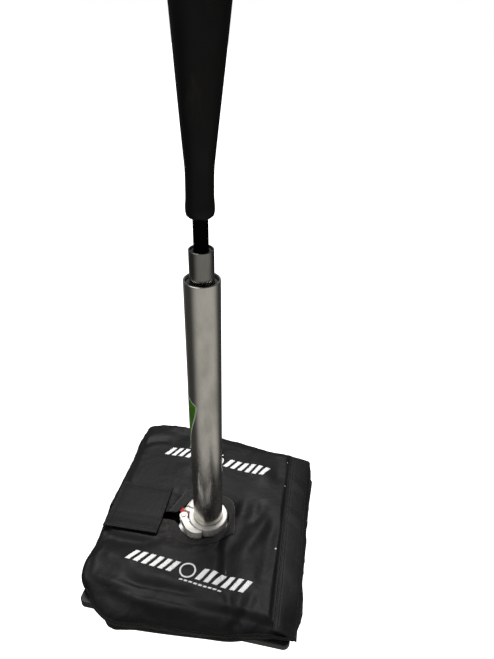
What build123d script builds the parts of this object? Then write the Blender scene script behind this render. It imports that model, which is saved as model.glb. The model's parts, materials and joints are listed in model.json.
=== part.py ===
from build123d import *
from math import cos, radians, sin, tan
import os

# Batting tee: a steel plate with a quick-release socket, a telescoping column with a flared rubber
# ball rest, and a weight bag that wraps the foot of the column through a slit.
# Millimetres. +Z is up along the column, the origin is on the ground at the column's axis, and
# the sides of the plate lie along X and Y.

# ---- driving dimensions -------------------------------------------------------------------------
FIT = 0.1               # radial clearance of sliding and seated fits
SNUG = 0.05             # radial clearance of pins, screws and O-rings

# ground plate
PLATE_SIDE = 258.0
PLATE_THICK = 9.5
PLATE_CORNER_R = 8.0
MAT_THICK = 1.5
MAT_SIDE = 246.0
PLATE_TOP = MAT_THICK + PLATE_THICK

# socket that holds the column
FLANGE_R = 43.0
FLANGE_THICK = 5.0
SCREW_PCD = 66.0
SCREW_R = 3.0
SCREW_HEAD_R = 5.8
SOCKET_WALL = 1.85
COLLAR_TOP = 49.5
COLLAR_HEIGHT = 14.0
COLLAR_R = 25.3
LIP_THICK = 2.0
SOCKET_FLOOR = PLATE_TOP + FLANGE_THICK
SOCKET_TOP = COLLAR_TOP - LIP_THICK

# quick-release clamp; its own frame has +X out through the split and +Y towards the lever
SPLIT_ANGLE = 166.0
SPLIT_GAP = 3.0
BOLT_X = 29.0
BOLT_Z = 43.0
BOLT_R = 2.5
EAR_R = 6.0
NEAR_EAR = 6.5
FAR_EAR = 9.0
SADDLE_THICK = 2.5
SADDLE_WING = 3.0
PIN_Y = 14.5
PIN_R = 2.0
CAM_R = 5.4
LEVER_LOW = 38.0
LEVER_HIGH = 48.0
EYE_R = 4.4
EYE_HALF = 2.65

# column
TUBE_R = 19.05          # 1.5 inch tube
TUBE_WALL = 2.0
TUBE_TOP = 400.5
MID_R = 12.7            # 1 inch tube
MID_WALL = 1.6
MID_TOP = 433.0
ROD_R = 7.5
ROD_WALL = 1.5
ROD_TOP = 506.0
MID_FOOT = 80.0         # lower end of the mid tube
ROD_FOOT = 150.0        # lower end of the rod

# ball rest
REST_LOW = 466.0
SLEEVE_TOP = 511.0
REST_TOP = 702.0
SLEEVE_R = 13.2
RIM_R = 29.7
RIM_WALL = 3.0

# weight bag: corners seen from above, then heights
BAG_CORNERS = [(-131, -112), (138, -127), (122, 149), (-146, 168)]
BAG_LOW = 0.5
BAG_SHOULDER = 24.0
BAG_TOP = 34.0
BAG_TAPER = 40.0
HOLE_R = 28.3           # hugs the clamp's ring
LEVER_HOLE_R = 33.0     # second circle, round the ears and the lever
LEVER_HOLE = (-11.0, 1.0)
SLIT_Y = 2.5
BINDING_WIDTH = 7.0
LAY_GAP = 0.3           # between soft goods and what they lie on
TAPE = 0.6              # thickness of hook or loop tape
CLOTH = 1.6             # thickness of a hemmed flap
SHEET = 1.5             # thickness of the bag's bottom panel

# flap over the slit, about its own centre
FLAP_CENTRE = (-99.0, 3.5)
FLAP_WIDTH = 74.0
FLAP_LENGTH = 81.0
FLAP_TURN = 2.2

# strip that closes the filling mouth along the right side
STRIP_WIDTH = 31.0
STRIP_LENGTH = 274.0
STRIP_TURN = 3.3
STRIP_SLOPE = 13.0


# ---- helpers ------------------------------------------------------------------------------------
def disc(radius, low, high, x=0.0, y=0.0):
    return Pos(x, y, (low + high) / 2) * Cylinder(radius, high - low)


def tube(outer, inner, low, high, x=0.0, y=0.0):
    return disc(outer, low, high, x, y) - disc(inner, low - 1, high + 1, x, y)


def block(x0, x1, y0, y1, z0, z1):
    return Pos((x0 + x1) / 2, (y0 + y1) / 2, (z0 + z1) / 2) * Box(x1 - x0, y1 - y0, z1 - z0)


def rod_along_y(radius, y0, y1, x, z):
    return Pos(x, (y0 + y1) / 2, z) * Rot(90, 0, 0) * Cylinder(radius, y1 - y0)


def polar(radius, degrees):
    return (radius * cos(radians(degrees)), radius * sin(radians(degrees)))


def revolved(points):
    """A solid of revolution about Z from (radius, height) points."""
    face = Plane.XZ * make_face(Polyline(*points, close=True))
    return revolve(face, Axis.Z, 360)


def o_ring(centre_r, section_r, z):
    return Pos(0, 0, z) * Torus(centre_r, section_r)


clamp_frame = Rot(0, 0, SPLIT_ANGLE)


# ---- ground plate -------------------------------------------------------------------------------
def screw_places():
    return [polar(SCREW_PCD / 2, 45 + 90 * i) for i in range(4)]


def make_base_plate():
    plate = Pos(0, 0, MAT_THICK) * extrude(RectangleRounded(PLATE_SIDE, PLATE_SIDE, PLATE_CORNER_R),
                                           PLATE_THICK)
    top_edges = plate.faces().sort_by(Axis.Z)[-1].edges()
    plate = chamfer(top_edges, 1.0)
    for x, y in screw_places():
        plate -= disc(SCREW_R + SNUG, PLATE_TOP - 7, PLATE_TOP + 1, x, y)
    return plate


def make_rubber_mat():
    return extrude(RectangleRounded(MAT_SIDE, MAT_SIDE, PLATE_CORNER_R - 6), MAT_THICK)


def make_socket_flange():
    flange = disc(FLANGE_R, PLATE_TOP, SOCKET_FLOOR)
    flange = chamfer(flange.faces().sort_by(Axis.Z)[-1].edges(), 1.2)
    sink = SCREW_HEAD_R - SCREW_R
    for x, y in screw_places():
        flange -= disc(SCREW_R + SNUG, PLATE_TOP - 1, SOCKET_FLOOR + 1, x, y)
        cone = Cone(SCREW_R + SNUG, SCREW_HEAD_R + SNUG, sink)
        flange -= Pos(x, y, SOCKET_FLOOR - sink / 2) * cone
    return flange


def make_flange_screws():
    sink = SCREW_HEAD_R - SCREW_R
    screws = []
    for x, y in screw_places():
        screw = disc(SCREW_R, PLATE_TOP - 6.5, SOCKET_FLOOR - sink, x, y)
        screw += Pos(x, y, SOCKET_FLOOR - sink / 2) * Cone(SCREW_R, SCREW_HEAD_R, sink)
        key = extrude(RegularPolygon(2.0, 6), 2.2)
        screws.append(screw - Pos(x, y, SOCKET_FLOOR - 2.0) * key)
    return Compound(children=screws)


def make_socket_tube():
    bore = TUBE_R + FIT
    socket = tube(bore + SOCKET_WALL, bore, SOCKET_FLOOR, SOCKET_TOP)
    slot = block(bore - 3, bore + 6, -1.2, 1.2, SOCKET_FLOOR + 8, SOCKET_TOP + 1)
    return socket - clamp_frame * slot


# ---- quick-release clamp ------------------------------------------------------------------------
def make_clamp_collar():
    low = COLLAR_TOP - COLLAR_HEIGHT
    socket_r = TUBE_R + FIT + SOCKET_WALL
    ring = disc(COLLAR_R, low, COLLAR_TOP)
    ring = chamfer(ring.edges(), 1.0)
    for y0, y1 in ((SPLIT_GAP / 2, NEAR_EAR), (-FAR_EAR, -SPLIT_GAP / 2)):
        ring += block(socket_r, BOLT_X, y0, y1, BOLT_Z - EAR_R, BOLT_Z + EAR_R)
        ring += rod_along_y(EAR_R, y0, y1, BOLT_X, BOLT_Z)
    ring -= disc(socket_r + FIT, low - 1, SOCKET_TOP)
    ring -= disc(TUBE_R + 3 * FIT, low, COLLAR_TOP + 1)
    ring -= block(10, BOLT_X + 2 * EAR_R, -SPLIT_GAP / 2, SPLIT_GAP / 2, low - 1, COLLAR_TOP + 1)
    ring -= rod_along_y(BOLT_R + FIT, -FAR_EAR - 1, NEAR_EAR + 1, BOLT_X, BOLT_Z)
    return clamp_frame * ring


def make_draw_bolt():
    bolt = rod_along_y(BOLT_R, -FAR_EAR - 6.0, PIN_Y, BOLT_X, BOLT_Z)
    bolt += disc(EYE_R, BOLT_Z - EYE_HALF, BOLT_Z + EYE_HALF, BOLT_X, PIN_Y)
    bolt -= disc(PIN_R + SNUG, BOLT_Z - 5, BOLT_Z + 5, BOLT_X, PIN_Y)
    return clamp_frame * bolt


def make_barrel_nut():
    nut = rod_along_y(EAR_R - 0.6, -FAR_EAR - 5.0, -FAR_EAR, BOLT_X, BOLT_Z)
    nut = chamfer(nut.edges(), 0.6)
    nut -= rod_along_y(BOLT_R + SNUG, -FAR_EAR - 6, -FAR_EAR + 1, BOLT_X, BOLT_Z)
    return clamp_frame * nut


def make_cam_saddle():
    """Forked washer that the cam presses on, with a low wing that wraps the outside of the ear."""
    reach = BOLT_X + EAR_R + 0.4
    low = BOLT_Z - EAR_R
    saddle = block(BOLT_X - 4.0, reach + SADDLE_WING, NEAR_EAR, NEAR_EAR + SADDLE_THICK,
                   low, BOLT_Z + 2.0)
    saddle += block(reach, reach + SADDLE_WING, SPLIT_GAP / 2, NEAR_EAR + SADDLE_THICK,
                    low, BOLT_Z + 1.0)
    saddle -= rod_along_y(BOLT_R + FIT, 0, PIN_Y, BOLT_X, BOLT_Z)
    return clamp_frame * saddle


def make_cam_lever():
    """Fork round the bolt's eye, then an arm that hugs the collar and thins to a rounded tip."""
    inner_r = COLLAR_R + 1.0
    heel = (BOLT_X + CAM_R * cos(radians(50)), PIN_Y + CAM_R * sin(radians(50)))
    knee = polar(34.8, 61)
    tip_out = polar(29.6, 98)
    tip_in = polar(inner_r, 99)
    root = (BOLT_X - CAM_R, PIN_Y + 0.6)
    outline = [
        Line(heel, knee),
        ThreePointArc(knee, polar(33.4, 80), tip_out),
        ThreePointArc(tip_out, polar(27.9, 101.5), tip_in),
        ThreePointArc(tip_in, polar(inner_r, 68), root),
        Line(root, (BOLT_X, PIN_Y)),
        Line((BOLT_X, PIN_Y), heel),
    ]
    arm = Pos(0, 0, LEVER_LOW) * extrude(make_face(outline), LEVER_HIGH - LEVER_LOW)
    fork_gap = EYE_HALF + 0.15
    arm -= disc(7.0, BOLT_Z - fork_gap, BOLT_Z + fork_gap, BOLT_X, PIN_Y)
    cheeks = disc(CAM_R, LEVER_LOW, BOLT_Z - fork_gap, BOLT_X, PIN_Y)
    cheeks += disc(CAM_R, BOLT_Z + fork_gap, LEVER_HIGH, BOLT_X, PIN_Y)
    lever = arm + cheeks
    lever -= disc(PIN_R + SNUG, LEVER_LOW - 1, LEVER_HIGH + 1, BOLT_X, PIN_Y)
    return clamp_frame * lever


def make_pivot_pin():
    pin = disc(PIN_R, LEVER_LOW + 0.2, LEVER_HIGH + 0.1, BOLT_X, PIN_Y)
    head = chamfer(disc(3.2, LEVER_HIGH + 0.1, LEVER_HIGH + 1.1, BOLT_X, PIN_Y).edges()
                   .sort_by(Axis.Z)[-1], 0.4)
    return clamp_frame * (pin + head)


# ---- column -------------------------------------------------------------------------------------
def make_outer_tube():
    shell = tube(TUBE_R, TUBE_R - TUBE_WALL, SOCKET_FLOOR, TUBE_TOP)
    return chamfer(shell.edges().group_by(Axis.Z)[-1], 0.5)


def make_mid_tube():
    shell = tube(MID_R, MID_R - MID_WALL, MID_FOOT, MID_TOP)
    return chamfer(shell.edges().group_by(Axis.Z)[-1], 0.4)


def make_inner_rod():
    return tube(ROD_R, ROD_R - ROD_WALL, ROD_FOOT, ROD_TOP)


def make_guide_bush(bore_r, runner_r, top, length):
    bush = tube(bore_r - SNUG, runner_r + FIT, top - length, top)
    return chamfer(bush.edges().group_by(Axis.Z)[-1], 0.6)


def make_foot_plug(bore_r, tube_r, tube_foot, ring_section):
    """Cup on the lower end of a sliding tube, with two O-ring grooves; returns plug and rings."""
    low = tube_foot - 12.0
    high = tube_foot + 12.0
    plug = disc(bore_r - FIT, low, high)
    plug = chamfer(plug.edges(), 0.8)
    plug -= disc(tube_r + SNUG, tube_foot, high + 1)
    rings = []
    for z in (low + 5.0, high - 5.0):
        groove = ring_section + 0.1
        floor_r = bore_r - SNUG - 2 * ring_section - 0.02
        plug -= tube(bore_r + 1, floor_r, z - groove, z + groove)
        rings.append(o_ring(bore_r - SNUG - ring_section, ring_section, z))
    return plug, Compound(children=rings)


def make_rod_top_plug():
    plug = disc(ROD_R - ROD_WALL - SNUG, ROD_TOP - 20, ROD_TOP)
    plug += disc(ROD_R, ROD_TOP, ROD_TOP + 3)
    return plug


def make_ball_rest():
    """Straight sleeve on the rod, then a cone that flares to a beaded rim; hollow above the rod."""
    bore = ROD_R + SNUG
    outline = [
        (bore, REST_LOW),
        (SLEEVE_R - 0.8, REST_LOW),
        (SLEEVE_R, REST_LOW + 0.8),
        (SLEEVE_R, SLEEVE_TOP),
        (RIM_R - 0.5, REST_TOP - 6),
        (RIM_R + 0.5, REST_TOP - 3),
        (RIM_R - 0.3, REST_TOP),
        (RIM_R - RIM_WALL, REST_TOP),
        (SLEEVE_R - 2.6, SLEEVE_TOP + 14),
        (bore, SLEEVE_TOP + 2),
    ]
    return revolved(outline)


# ---- weight bag ---------------------------------------------------------------------------------
def bag_outline(inset=0.0):
    """Face of the bag's plan shape, drawn in from its corners by an inset."""
    face = make_face(Polyline(*BAG_CORNERS, close=True))
    face = fillet(face.vertices(), 14)
    if inset:
        face = offset(face, -inset)
    return face


def strip_frame():
    """Frame on the sloping right margin: +X out over the edge, +Y along it, Z off the cloth."""
    (x0, y0), (x1, y1) = BAG_CORNERS[1], BAG_CORNERS[2]
    edge = Pos((x0 + x1) / 2, (y0 + y1) / 2, BAG_SHOULDER)
    return edge * Rot(0, 0, STRIP_TURN) * Rot(0, STRIP_SLOPE, 0)


def flap_frame():
    return Pos(FLAP_CENTRE[0], FLAP_CENTRE[1], BAG_TOP) * Rot(0, 0, FLAP_TURN)


def slit_cut():
    """Hole round the clamp, with a slit that opens from it to the left edge."""
    mouth = Polyline((-8, SLIT_Y - 9), (-38, SLIT_Y - 8), (-66, SLIT_Y - 1.2),
                     (-170, SLIT_Y - 1.2), (-170, SLIT_Y + 1.2), (-66, SLIT_Y + 1.2),
                     (-38, SLIT_Y + 8), (-8, SLIT_Y + 9), close=True)
    return extrude(make_face(mouth), BAG_TOP + 20) + hole_room(0, -1, BAG_TOP + 20)


def hole_room(grow, low, high):
    """The hole's two overlapping circles, grown by the width of a binding."""
    lever_side = disc(LEVER_HOLE_R + grow, low, high, LEVER_HOLE[0], LEVER_HOLE[1])
    return lever_side + disc(HOLE_R + grow, low, high)


def pack_face(y0, y1):
    """Plan of a filled pocket between two lines across the bag."""
    band = Pos(-8, (y0 + y1) / 2) * Rectangle(400, y1 - y0)
    return bag_outline(14) & band


PACKS = {"sand_pack_front": (-110, -46), "sand_pack_back": (46, 150)}
PACK_TOP = BAG_TOP - 2.5
PACK_LOW = PLATE_TOP + LAY_GAP + SHEET


def pack_solid(name, grow):
    """Sand pack, or with grow its pocket in the top panel."""
    y0, y1 = PACKS[name]
    face = pack_face(y0, y1)
    if grow:
        face = offset(face, grow)
    solid = Pos(0, 0, PACK_LOW) * extrude(face, PACK_TOP - PACK_LOW + grow)
    sloped = strip_frame() * block(-120, 40, -200, 200, grow - 2.5, 60)
    solid -= sloped
    return solid


def make_bag_top():
    lower = Pos(0, 0, BAG_LOW) * extrude(bag_outline(), BAG_SHOULDER - BAG_LOW)
    upper = Pos(0, 0, BAG_SHOULDER) * extrude(bag_outline(), BAG_TOP - BAG_SHOULDER, taper=BAG_TAPER)
    bag = lower + upper
    bag += make_front_drape()
    bag -= strip_frame() * block(-120, 60, -220, 220, 0, 60)
    half = PLATE_SIDE / 2 + LAY_GAP
    lie = PLATE_TOP + LAY_GAP
    bag -= block(-half, half, -half, half, -1, lie)
    bag -= block(-200, -86, -200, -90, -1, lie)
    bag -= block(62, 200, -200, -90, -1, lie)
    bag -= make_bag_bottom()
    for name in PACKS:
        bag -= pack_solid(name, 0.2)
    return bag - slit_cut() - flange_room()


def flange_room():
    """The bag lies over the socket's flange, so its underside has a round hollow there."""
    return disc(FLANGE_R + 1, -1, SOCKET_FLOOR + LAY_GAP)


def make_front_drape():
    """The front wall hangs over the plate's edge and its hem lies on the ground."""
    edge = -PLATE_SIDE / 2 - LAY_GAP
    profile = Polyline((edge + 30, BAG_LOW), (edge - 13, BAG_LOW), (edge - 13, 4), (edge + 8, 29),
                       (edge + 30, 29), close=True)
    wall = Pos(-86, 0, 0) * extrude(Plane.YZ * make_face(profile), 148)
    return wall


def make_bag_bottom():
    sheet = Pos(0, 0, PLATE_TOP + LAY_GAP) * extrude(bag_outline(8), SHEET)
    inside = block(-PLATE_SIDE / 2, PLATE_SIDE / 2, -PLATE_SIDE / 2 + 6, PLATE_SIDE / 2, 0, 40)
    return (sheet & inside) - slit_cut() - flange_room()


def make_hole_binding():
    return hole_room(BINDING_WIDTH, BAG_TOP, BAG_TOP + 1.2) - slit_cut()


def tape_level(layer):
    """Loop tape lies on the bag, hook tape under the flap, then the flap's own cloth."""
    low = {"loop": 0.0, "hook": TAPE + 0.2, "cloth": 2 * TAPE + 0.2}[layer]
    high = low + (CLOTH if layer == "cloth" else TAPE)
    return low, high


def make_closure(layer):
    low, high = tape_level(layer)
    half_w = FLAP_WIDTH / 2
    half_l = FLAP_LENGTH / 2
    if layer == "cloth":
        flap = block(-half_w, half_w, -half_l, half_l, low, high)
        flap = fillet(flap.edges().filter_by(Axis.Z), 3)
        return flap_frame() * flap
    return flap_frame() * block(-half_w + 12, half_w - 7, -half_l + 6, -half_l + 32, low, high)


def make_strip(layer):
    low, high = tape_level(layer)
    half = STRIP_LENGTH / 2
    if layer == "cloth":
        return strip_frame() * block(-STRIP_WIDTH, 0, -half, half, low, high)
    return strip_frame() * block(-STRIP_WIDTH + 5, -6, -half + 12, half - 12, low, high)


# ---- write the parts ----------------------------------------------------------------------------
mid_plug, mid_rings = make_foot_plug(TUBE_R - TUBE_WALL, MID_R, MID_FOOT, 1.1)
rod_plug, rod_rings = make_foot_plug(MID_R - MID_WALL, ROD_R, ROD_FOOT, 0.9)

parts = {
    "base_plate": make_base_plate(),
    "rubber_mat": make_rubber_mat(),
    "socket_flange": make_socket_flange(),
    "flange_screws": make_flange_screws(),
    "socket_tube": make_socket_tube(),
    "clamp_collar": make_clamp_collar(),
    "draw_bolt": make_draw_bolt(),
    "barrel_nut": make_barrel_nut(),
    "cam_saddle": make_cam_saddle(),
    "cam_lever": make_cam_lever(),
    "pivot_pin": make_pivot_pin(),
    "outer_tube": make_outer_tube(),
    "outer_guide_bush": make_guide_bush(TUBE_R - TUBE_WALL, MID_R, TUBE_TOP - 4, 30),
    "mid_tube": make_mid_tube(),
    "mid_guide_bush": make_guide_bush(MID_R - MID_WALL, ROD_R, MID_TOP - 2, 22),
    "mid_foot_plug": mid_plug,
    "mid_o_rings": mid_rings,
    "inner_rod": make_inner_rod(),
    "rod_foot_plug": rod_plug,
    "rod_o_rings": rod_rings,
    "rod_top_plug": make_rod_top_plug(),
    "ball_rest": make_ball_rest(),
    "bag_top": make_bag_top(),
    "bag_bottom": make_bag_bottom(),
    "hole_binding": make_hole_binding(),
    "closure_loop_tape": make_closure("loop"),
    "closure_hook_tape": make_closure("hook"),
    "closure_flap": make_closure("cloth"),
    "side_loop_tape": make_strip("loop"),
    "side_hook_tape": make_strip("hook"),
    "side_flap": make_strip("cloth"),
}
for name in PACKS:
    parts[name] = pack_solid(name, 0)

os.makedirs("parts", exist_ok=True)
for name, shape in parts.items():
    export_step(shape, f"parts/{name}.step")
    print(name, round(shape.volume))
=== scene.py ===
# %% [markdown]
# # A batting tee, one piece at a time
# The metal parts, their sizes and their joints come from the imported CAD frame. This script dresses
# that frame: it gives the metal its finishes, and it sews the weight bag that the CAD model only
# blocks out. Everything is in metres, in the frame's own coordinates, with the column along +Z.

# %% Load the frame
import json
import math

import bmesh
import bpy
import numpy as np
from mathutils import Euler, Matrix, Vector, noise
from mathutils.bvhtree import BVHTree


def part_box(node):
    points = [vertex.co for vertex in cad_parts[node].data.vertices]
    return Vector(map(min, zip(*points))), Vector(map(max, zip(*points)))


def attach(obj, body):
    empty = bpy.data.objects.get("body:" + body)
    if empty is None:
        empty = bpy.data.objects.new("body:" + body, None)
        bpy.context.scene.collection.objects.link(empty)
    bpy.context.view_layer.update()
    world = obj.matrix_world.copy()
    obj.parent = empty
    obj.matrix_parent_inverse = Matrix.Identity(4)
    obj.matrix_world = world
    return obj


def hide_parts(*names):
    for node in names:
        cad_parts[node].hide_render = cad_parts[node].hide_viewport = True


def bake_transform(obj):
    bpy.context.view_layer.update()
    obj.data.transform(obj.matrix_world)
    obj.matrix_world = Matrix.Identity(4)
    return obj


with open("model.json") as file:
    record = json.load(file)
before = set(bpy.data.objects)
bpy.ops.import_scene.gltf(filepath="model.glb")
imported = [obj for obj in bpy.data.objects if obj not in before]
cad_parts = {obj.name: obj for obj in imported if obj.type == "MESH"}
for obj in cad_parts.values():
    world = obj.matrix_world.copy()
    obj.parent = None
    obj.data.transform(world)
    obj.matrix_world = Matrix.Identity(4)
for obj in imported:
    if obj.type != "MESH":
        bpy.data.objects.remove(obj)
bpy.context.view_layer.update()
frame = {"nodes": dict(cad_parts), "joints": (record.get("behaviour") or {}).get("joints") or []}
MM = 0.001

# %% [markdown]
# ## Camera
# The view is a person's: standing a little to the right of the print, looking down at the bag from
# just below the top of the ball rest, so the rest runs out of the top of the frame. The lens is
# a short one, which is why the tube seems to taper towards the ground.

# %% Camera
eye = Vector((138.9, -477.2, 658.0)) * MM
HEADING, PITCH, ROLL = 10.93, 32.54, 1.33        # degrees
LENS = 30.59                                     # mm on a 36 mm sensor
camera = bpy.data.objects.new("camera", bpy.data.cameras.new("camera"))
bpy.context.scene.collection.objects.link(camera)
bpy.context.scene.camera = camera
camera.data.lens = LENS
camera.data.sensor_width = 36
camera.data.clip_start = 0.01
camera.location = eye
look = Euler((math.radians(90 - PITCH), 0, math.radians(HEADING)), "XYZ").to_matrix()
camera.rotation_euler = (look @ Euler((0, 0, math.radians(ROLL)), "XYZ").to_matrix()).to_euler()
print("camera stands", round((eye - Vector((0, 0, eye.z))).length, 2), "m from the column")


# %% [markdown]
# ## Small tools
# Three helpers carry the whole script: one turns sRGB hex colours to linear, one adds a shader node
# with its settings and links, and one turns a grid of points into a smooth mesh. What feeds a node
# that is already there, such as a material's shader, goes through the same few lines as a new one's.
#
# Three kinds of node do most of the work in every material. A Noise gives a value from 0 to 1. A
# Map Range, whose inputs are 0: the value, 1 and 2: the range it comes from and 3 and 4: the range
# it goes to, picks out the part of the noise that should show. A Mix, whose inputs are 0: the
# factor and 6 and 7: the two colours, turns that into colour.

# %% Colours and nodes
def srgb(hex_colour):
    """Linear RGBA from a hex colour such as #2A2A2B."""
    parts = [int(hex_colour[i:i + 2], 16) / 255 for i in (1, 3, 5)]
    return [c / 12.92 if c <= 0.04045 else ((c + 0.055) / 1.055) ** 2.4 for c in parts] + [1.0]


def feed(node, inputs):
    """Fills a node's inputs: each gets a value, a socket to link from, or a node's first output."""
    for key, value in inputs.items():
        if isinstance(value, bpy.types.Node):
            value = value.outputs[0]
        if isinstance(value, bpy.types.NodeSocket):
            node.id_data.links.new(value, node.inputs[key])
        else:
            node.inputs[key].default_value = value


def add(tree, kind, inputs=None, **settings):
    """One shader node: settings are its properties, and inputs are what feed() takes."""
    node = tree.nodes.new("ShaderNode" + kind)
    for key, value in settings.items():
        setattr(node, key, value)
    feed(node, inputs or {})
    return node


def new_material(name):
    """A new material, its tree, its Principled shader and the piece's own coordinates."""
    material = bpy.data.materials.new(name)
    material.use_nodes = True
    tree = material.node_tree
    place = add(tree, "TexCoord").outputs["Object"]
    return material, tree, tree.nodes["Principled BSDF"], place


SMOOTH = {"interpolation_type": "SMOOTHSTEP"}


# %% Meshes from grids
def grid_faces(rows, cols, wrap=False, flip=False):
    """Quads of a grid that faces along column step x row step, or the other way with flip."""
    r, c = np.meshgrid(np.arange(rows - 1), np.arange(cols if wrap else cols - 1), indexing="ij")
    n = (c + 1) % cols
    quads = np.stack([r * cols + c, r * cols + n, (r + 1) * cols + n, (r + 1) * cols + c], -1)
    return quads.reshape(-1, 4)[:, ::-1] if flip else quads.reshape(-1, 4)


def make_piece(name, points, faces, material):
    """A mesh object in the frame's coordinates from points in millimetres."""
    mesh = bpy.data.meshes.new(name)
    faces = faces.tolist() if isinstance(faces, np.ndarray) else faces
    mesh.from_pydata((np.asarray(points).reshape(-1, 3) * MM).tolist(), [], faces)
    mesh.polygons.foreach_set("use_smooth", [True] * len(mesh.polygons))
    mesh.materials.append(material)
    mesh.update()
    piece = bpy.data.objects.new(name, mesh)
    bpy.context.scene.collection.objects.link(piece)
    return piece


def thicken(piece, thickness, offset=-1.0):
    """Gives a sheet its real thickness in millimetres; offset -1 keeps the outer face in place."""
    solid = piece.modifiers.new("thickness", "SOLIDIFY")
    solid.thickness = thickness * MM
    solid.offset = offset
    return piece


def smoothstep(low, high, x):
    t = np.clip((x - low) / (high - low), 0, 1)
    return t * t * (3 - 2 * t)


def through(points, count):
    """A smooth curve through points (Catmull-Rom), sampled count times at even chord steps."""
    p = np.asarray(points, float)
    chord = np.r_[0, np.cumsum(np.linalg.norm(np.diff(p, axis=0), axis=1))]
    slope = np.gradient(p, chord, axis=0)
    s = np.linspace(0, chord[-1], count)
    i = np.clip(np.searchsorted(chord, s, side="right") - 1, 0, len(p) - 2)
    h = (chord[i + 1] - chord[i])[:, None]
    t = ((s - chord[i])[:, None]) / h
    return ((2 * t**3 - 3 * t**2 + 1) * p[i] + (t**3 - 2 * t**2 + t) * h * slope[i]
            + (-2 * t**3 + 3 * t**2) * p[i + 1] + (t**3 - t**2) * h * slope[i + 1])


def bezier(a, b, c, d, count):
    """The count steps of a Bezier curve that come after its start; each point may be a row of points."""
    return [(1 - t)**3 * a + 3 * (1 - t)**2 * t * b + 3 * (1 - t) * t**2 * c + t**3 * d
            for t in np.linspace(0, 1, count + 1)[1:]]


print("tools ready")

# %% [markdown]
# ## Floor and light
# A plain pale floor under a large soft light. Metal and coated cloth show the room more than their
# own colour. Seen from above, the upright tube mirrors the floor round it: a lighter floor in front
# and a darker one to the left draw the long bands down the metal. So the floor and the backdrop are
# pale to the eye, and a quieter version of themselves to every other ray.

# %% Floor
FLOOR_LIT = math.radians(303)     # the side of the column on which the floor is bright
FLOOR_HALF = 6000                 # millimetres


def stage_floor():
    material, tree, shader, place = new_material("studio_floor")
    tree.nodes.remove(shader)
    flat = add(tree, "VectorMath", {0: place, 1: (1, 1, 0)}, operation="MULTIPLY")
    towards = add(tree, "VectorMath", {0: flat}, operation="NORMALIZE")
    lit = (math.cos(FLOOR_LIT), math.sin(FLOOR_LIT), 0)
    cosine = add(tree, "VectorMath", {0: towards, 1: lit}, operation="DOT_PRODUCT").outputs["Value"]
    bright = add(tree, "MapRange", {0: cosine, 1: -0.15, 2: 0.75, 3: 0.05, 4: 0.50}, **SMOOTH)
    behind = add(tree, "MapRange", {0: cosine, 1: -0.75, 2: -1.0, 3: 0.0, 4: 0.12}, **SMOOTH)
    glow = add(tree, "Math", {0: bright, 1: behind}, operation="ADD")
    room = add(tree, "Emission", {"Color": srgb("#FFFCF6"), "Strength": glow})
    paper = add(tree, "BsdfDiffuse", {"Color": srgb("#E8E8E8")})
    white = add(tree, "Emission", {"Color": srgb("#FFFFFF"), "Strength": 0.86})
    paler = add(tree, "MixShader", {"Fac": 0.88, 1: paper, 2: white})
    seen = add(tree, "AddShader", {0: paler, 1: white})
    to_eye = add(tree, "LightPath").outputs["Is Camera Ray"]
    both = add(tree, "MixShader", {"Fac": to_eye, 1: room, 2: seen})
    feed(tree.nodes["Material Output"], {"Surface": both})
    return material


floor_corners = [(x * FLOOR_HALF, y * FLOOR_HALF, 0) for x, y in ((-1, -1), (1, -1), (1, 1), (-1, 1))]
floor = make_piece("floor", floor_corners, [(0, 1, 2, 3)], stage_floor())


# %% Backdrop and lamps
def backdrop():
    world = bpy.data.worlds.new("studio")
    bpy.context.scene.world = world
    world.use_nodes = True
    tree = world.node_tree
    quiet = tree.nodes["Background"]
    feed(quiet, {"Color": srgb("#EEF1F6"), "Strength": 0.09})
    pale = add(tree, "Background", {"Color": srgb("#FFFFFF"), "Strength": 1.0})
    to_eye = add(tree, "LightPath").outputs["Is Camera Ray"]
    both = add(tree, "MixShader", {"Fac": to_eye, 1: quiet, 2: pale})
    feed(tree.nodes["World Output"], {"Surface": both})


def soft_lamp(name, place, target, size, power):
    """A square area lamp in metres that faces its target."""
    lamp = bpy.data.objects.new(name, bpy.data.lights.new(name, "AREA"))
    lamp.data.size = size
    lamp.data.energy = power
    lamp.location = place
    lamp.rotation_euler = (Vector(target) - Vector(place)).to_track_quat("-Z", "Y").to_euler()
    bpy.context.scene.collection.objects.link(lamp)
    return lamp


backdrop()
soft_lamp("key", (-0.1, 0.55, 1.9), (0, 0, 0.05), 0.8, 38)
soft_lamp("fill", (-0.9, -0.9, 1.6), (0, 0, 0.05), 1.3, 9)
bpy.context.scene.view_settings.view_transform = "Standard"
print("lamps placed")

# %% [markdown]
# ## Metal
# The tubes are drawn aluminium, 6061, polished along their length with a fine abrasive belt. That
# leaves hair-thin lines along the tube: lights stay sharp along it and smear round it.

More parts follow.
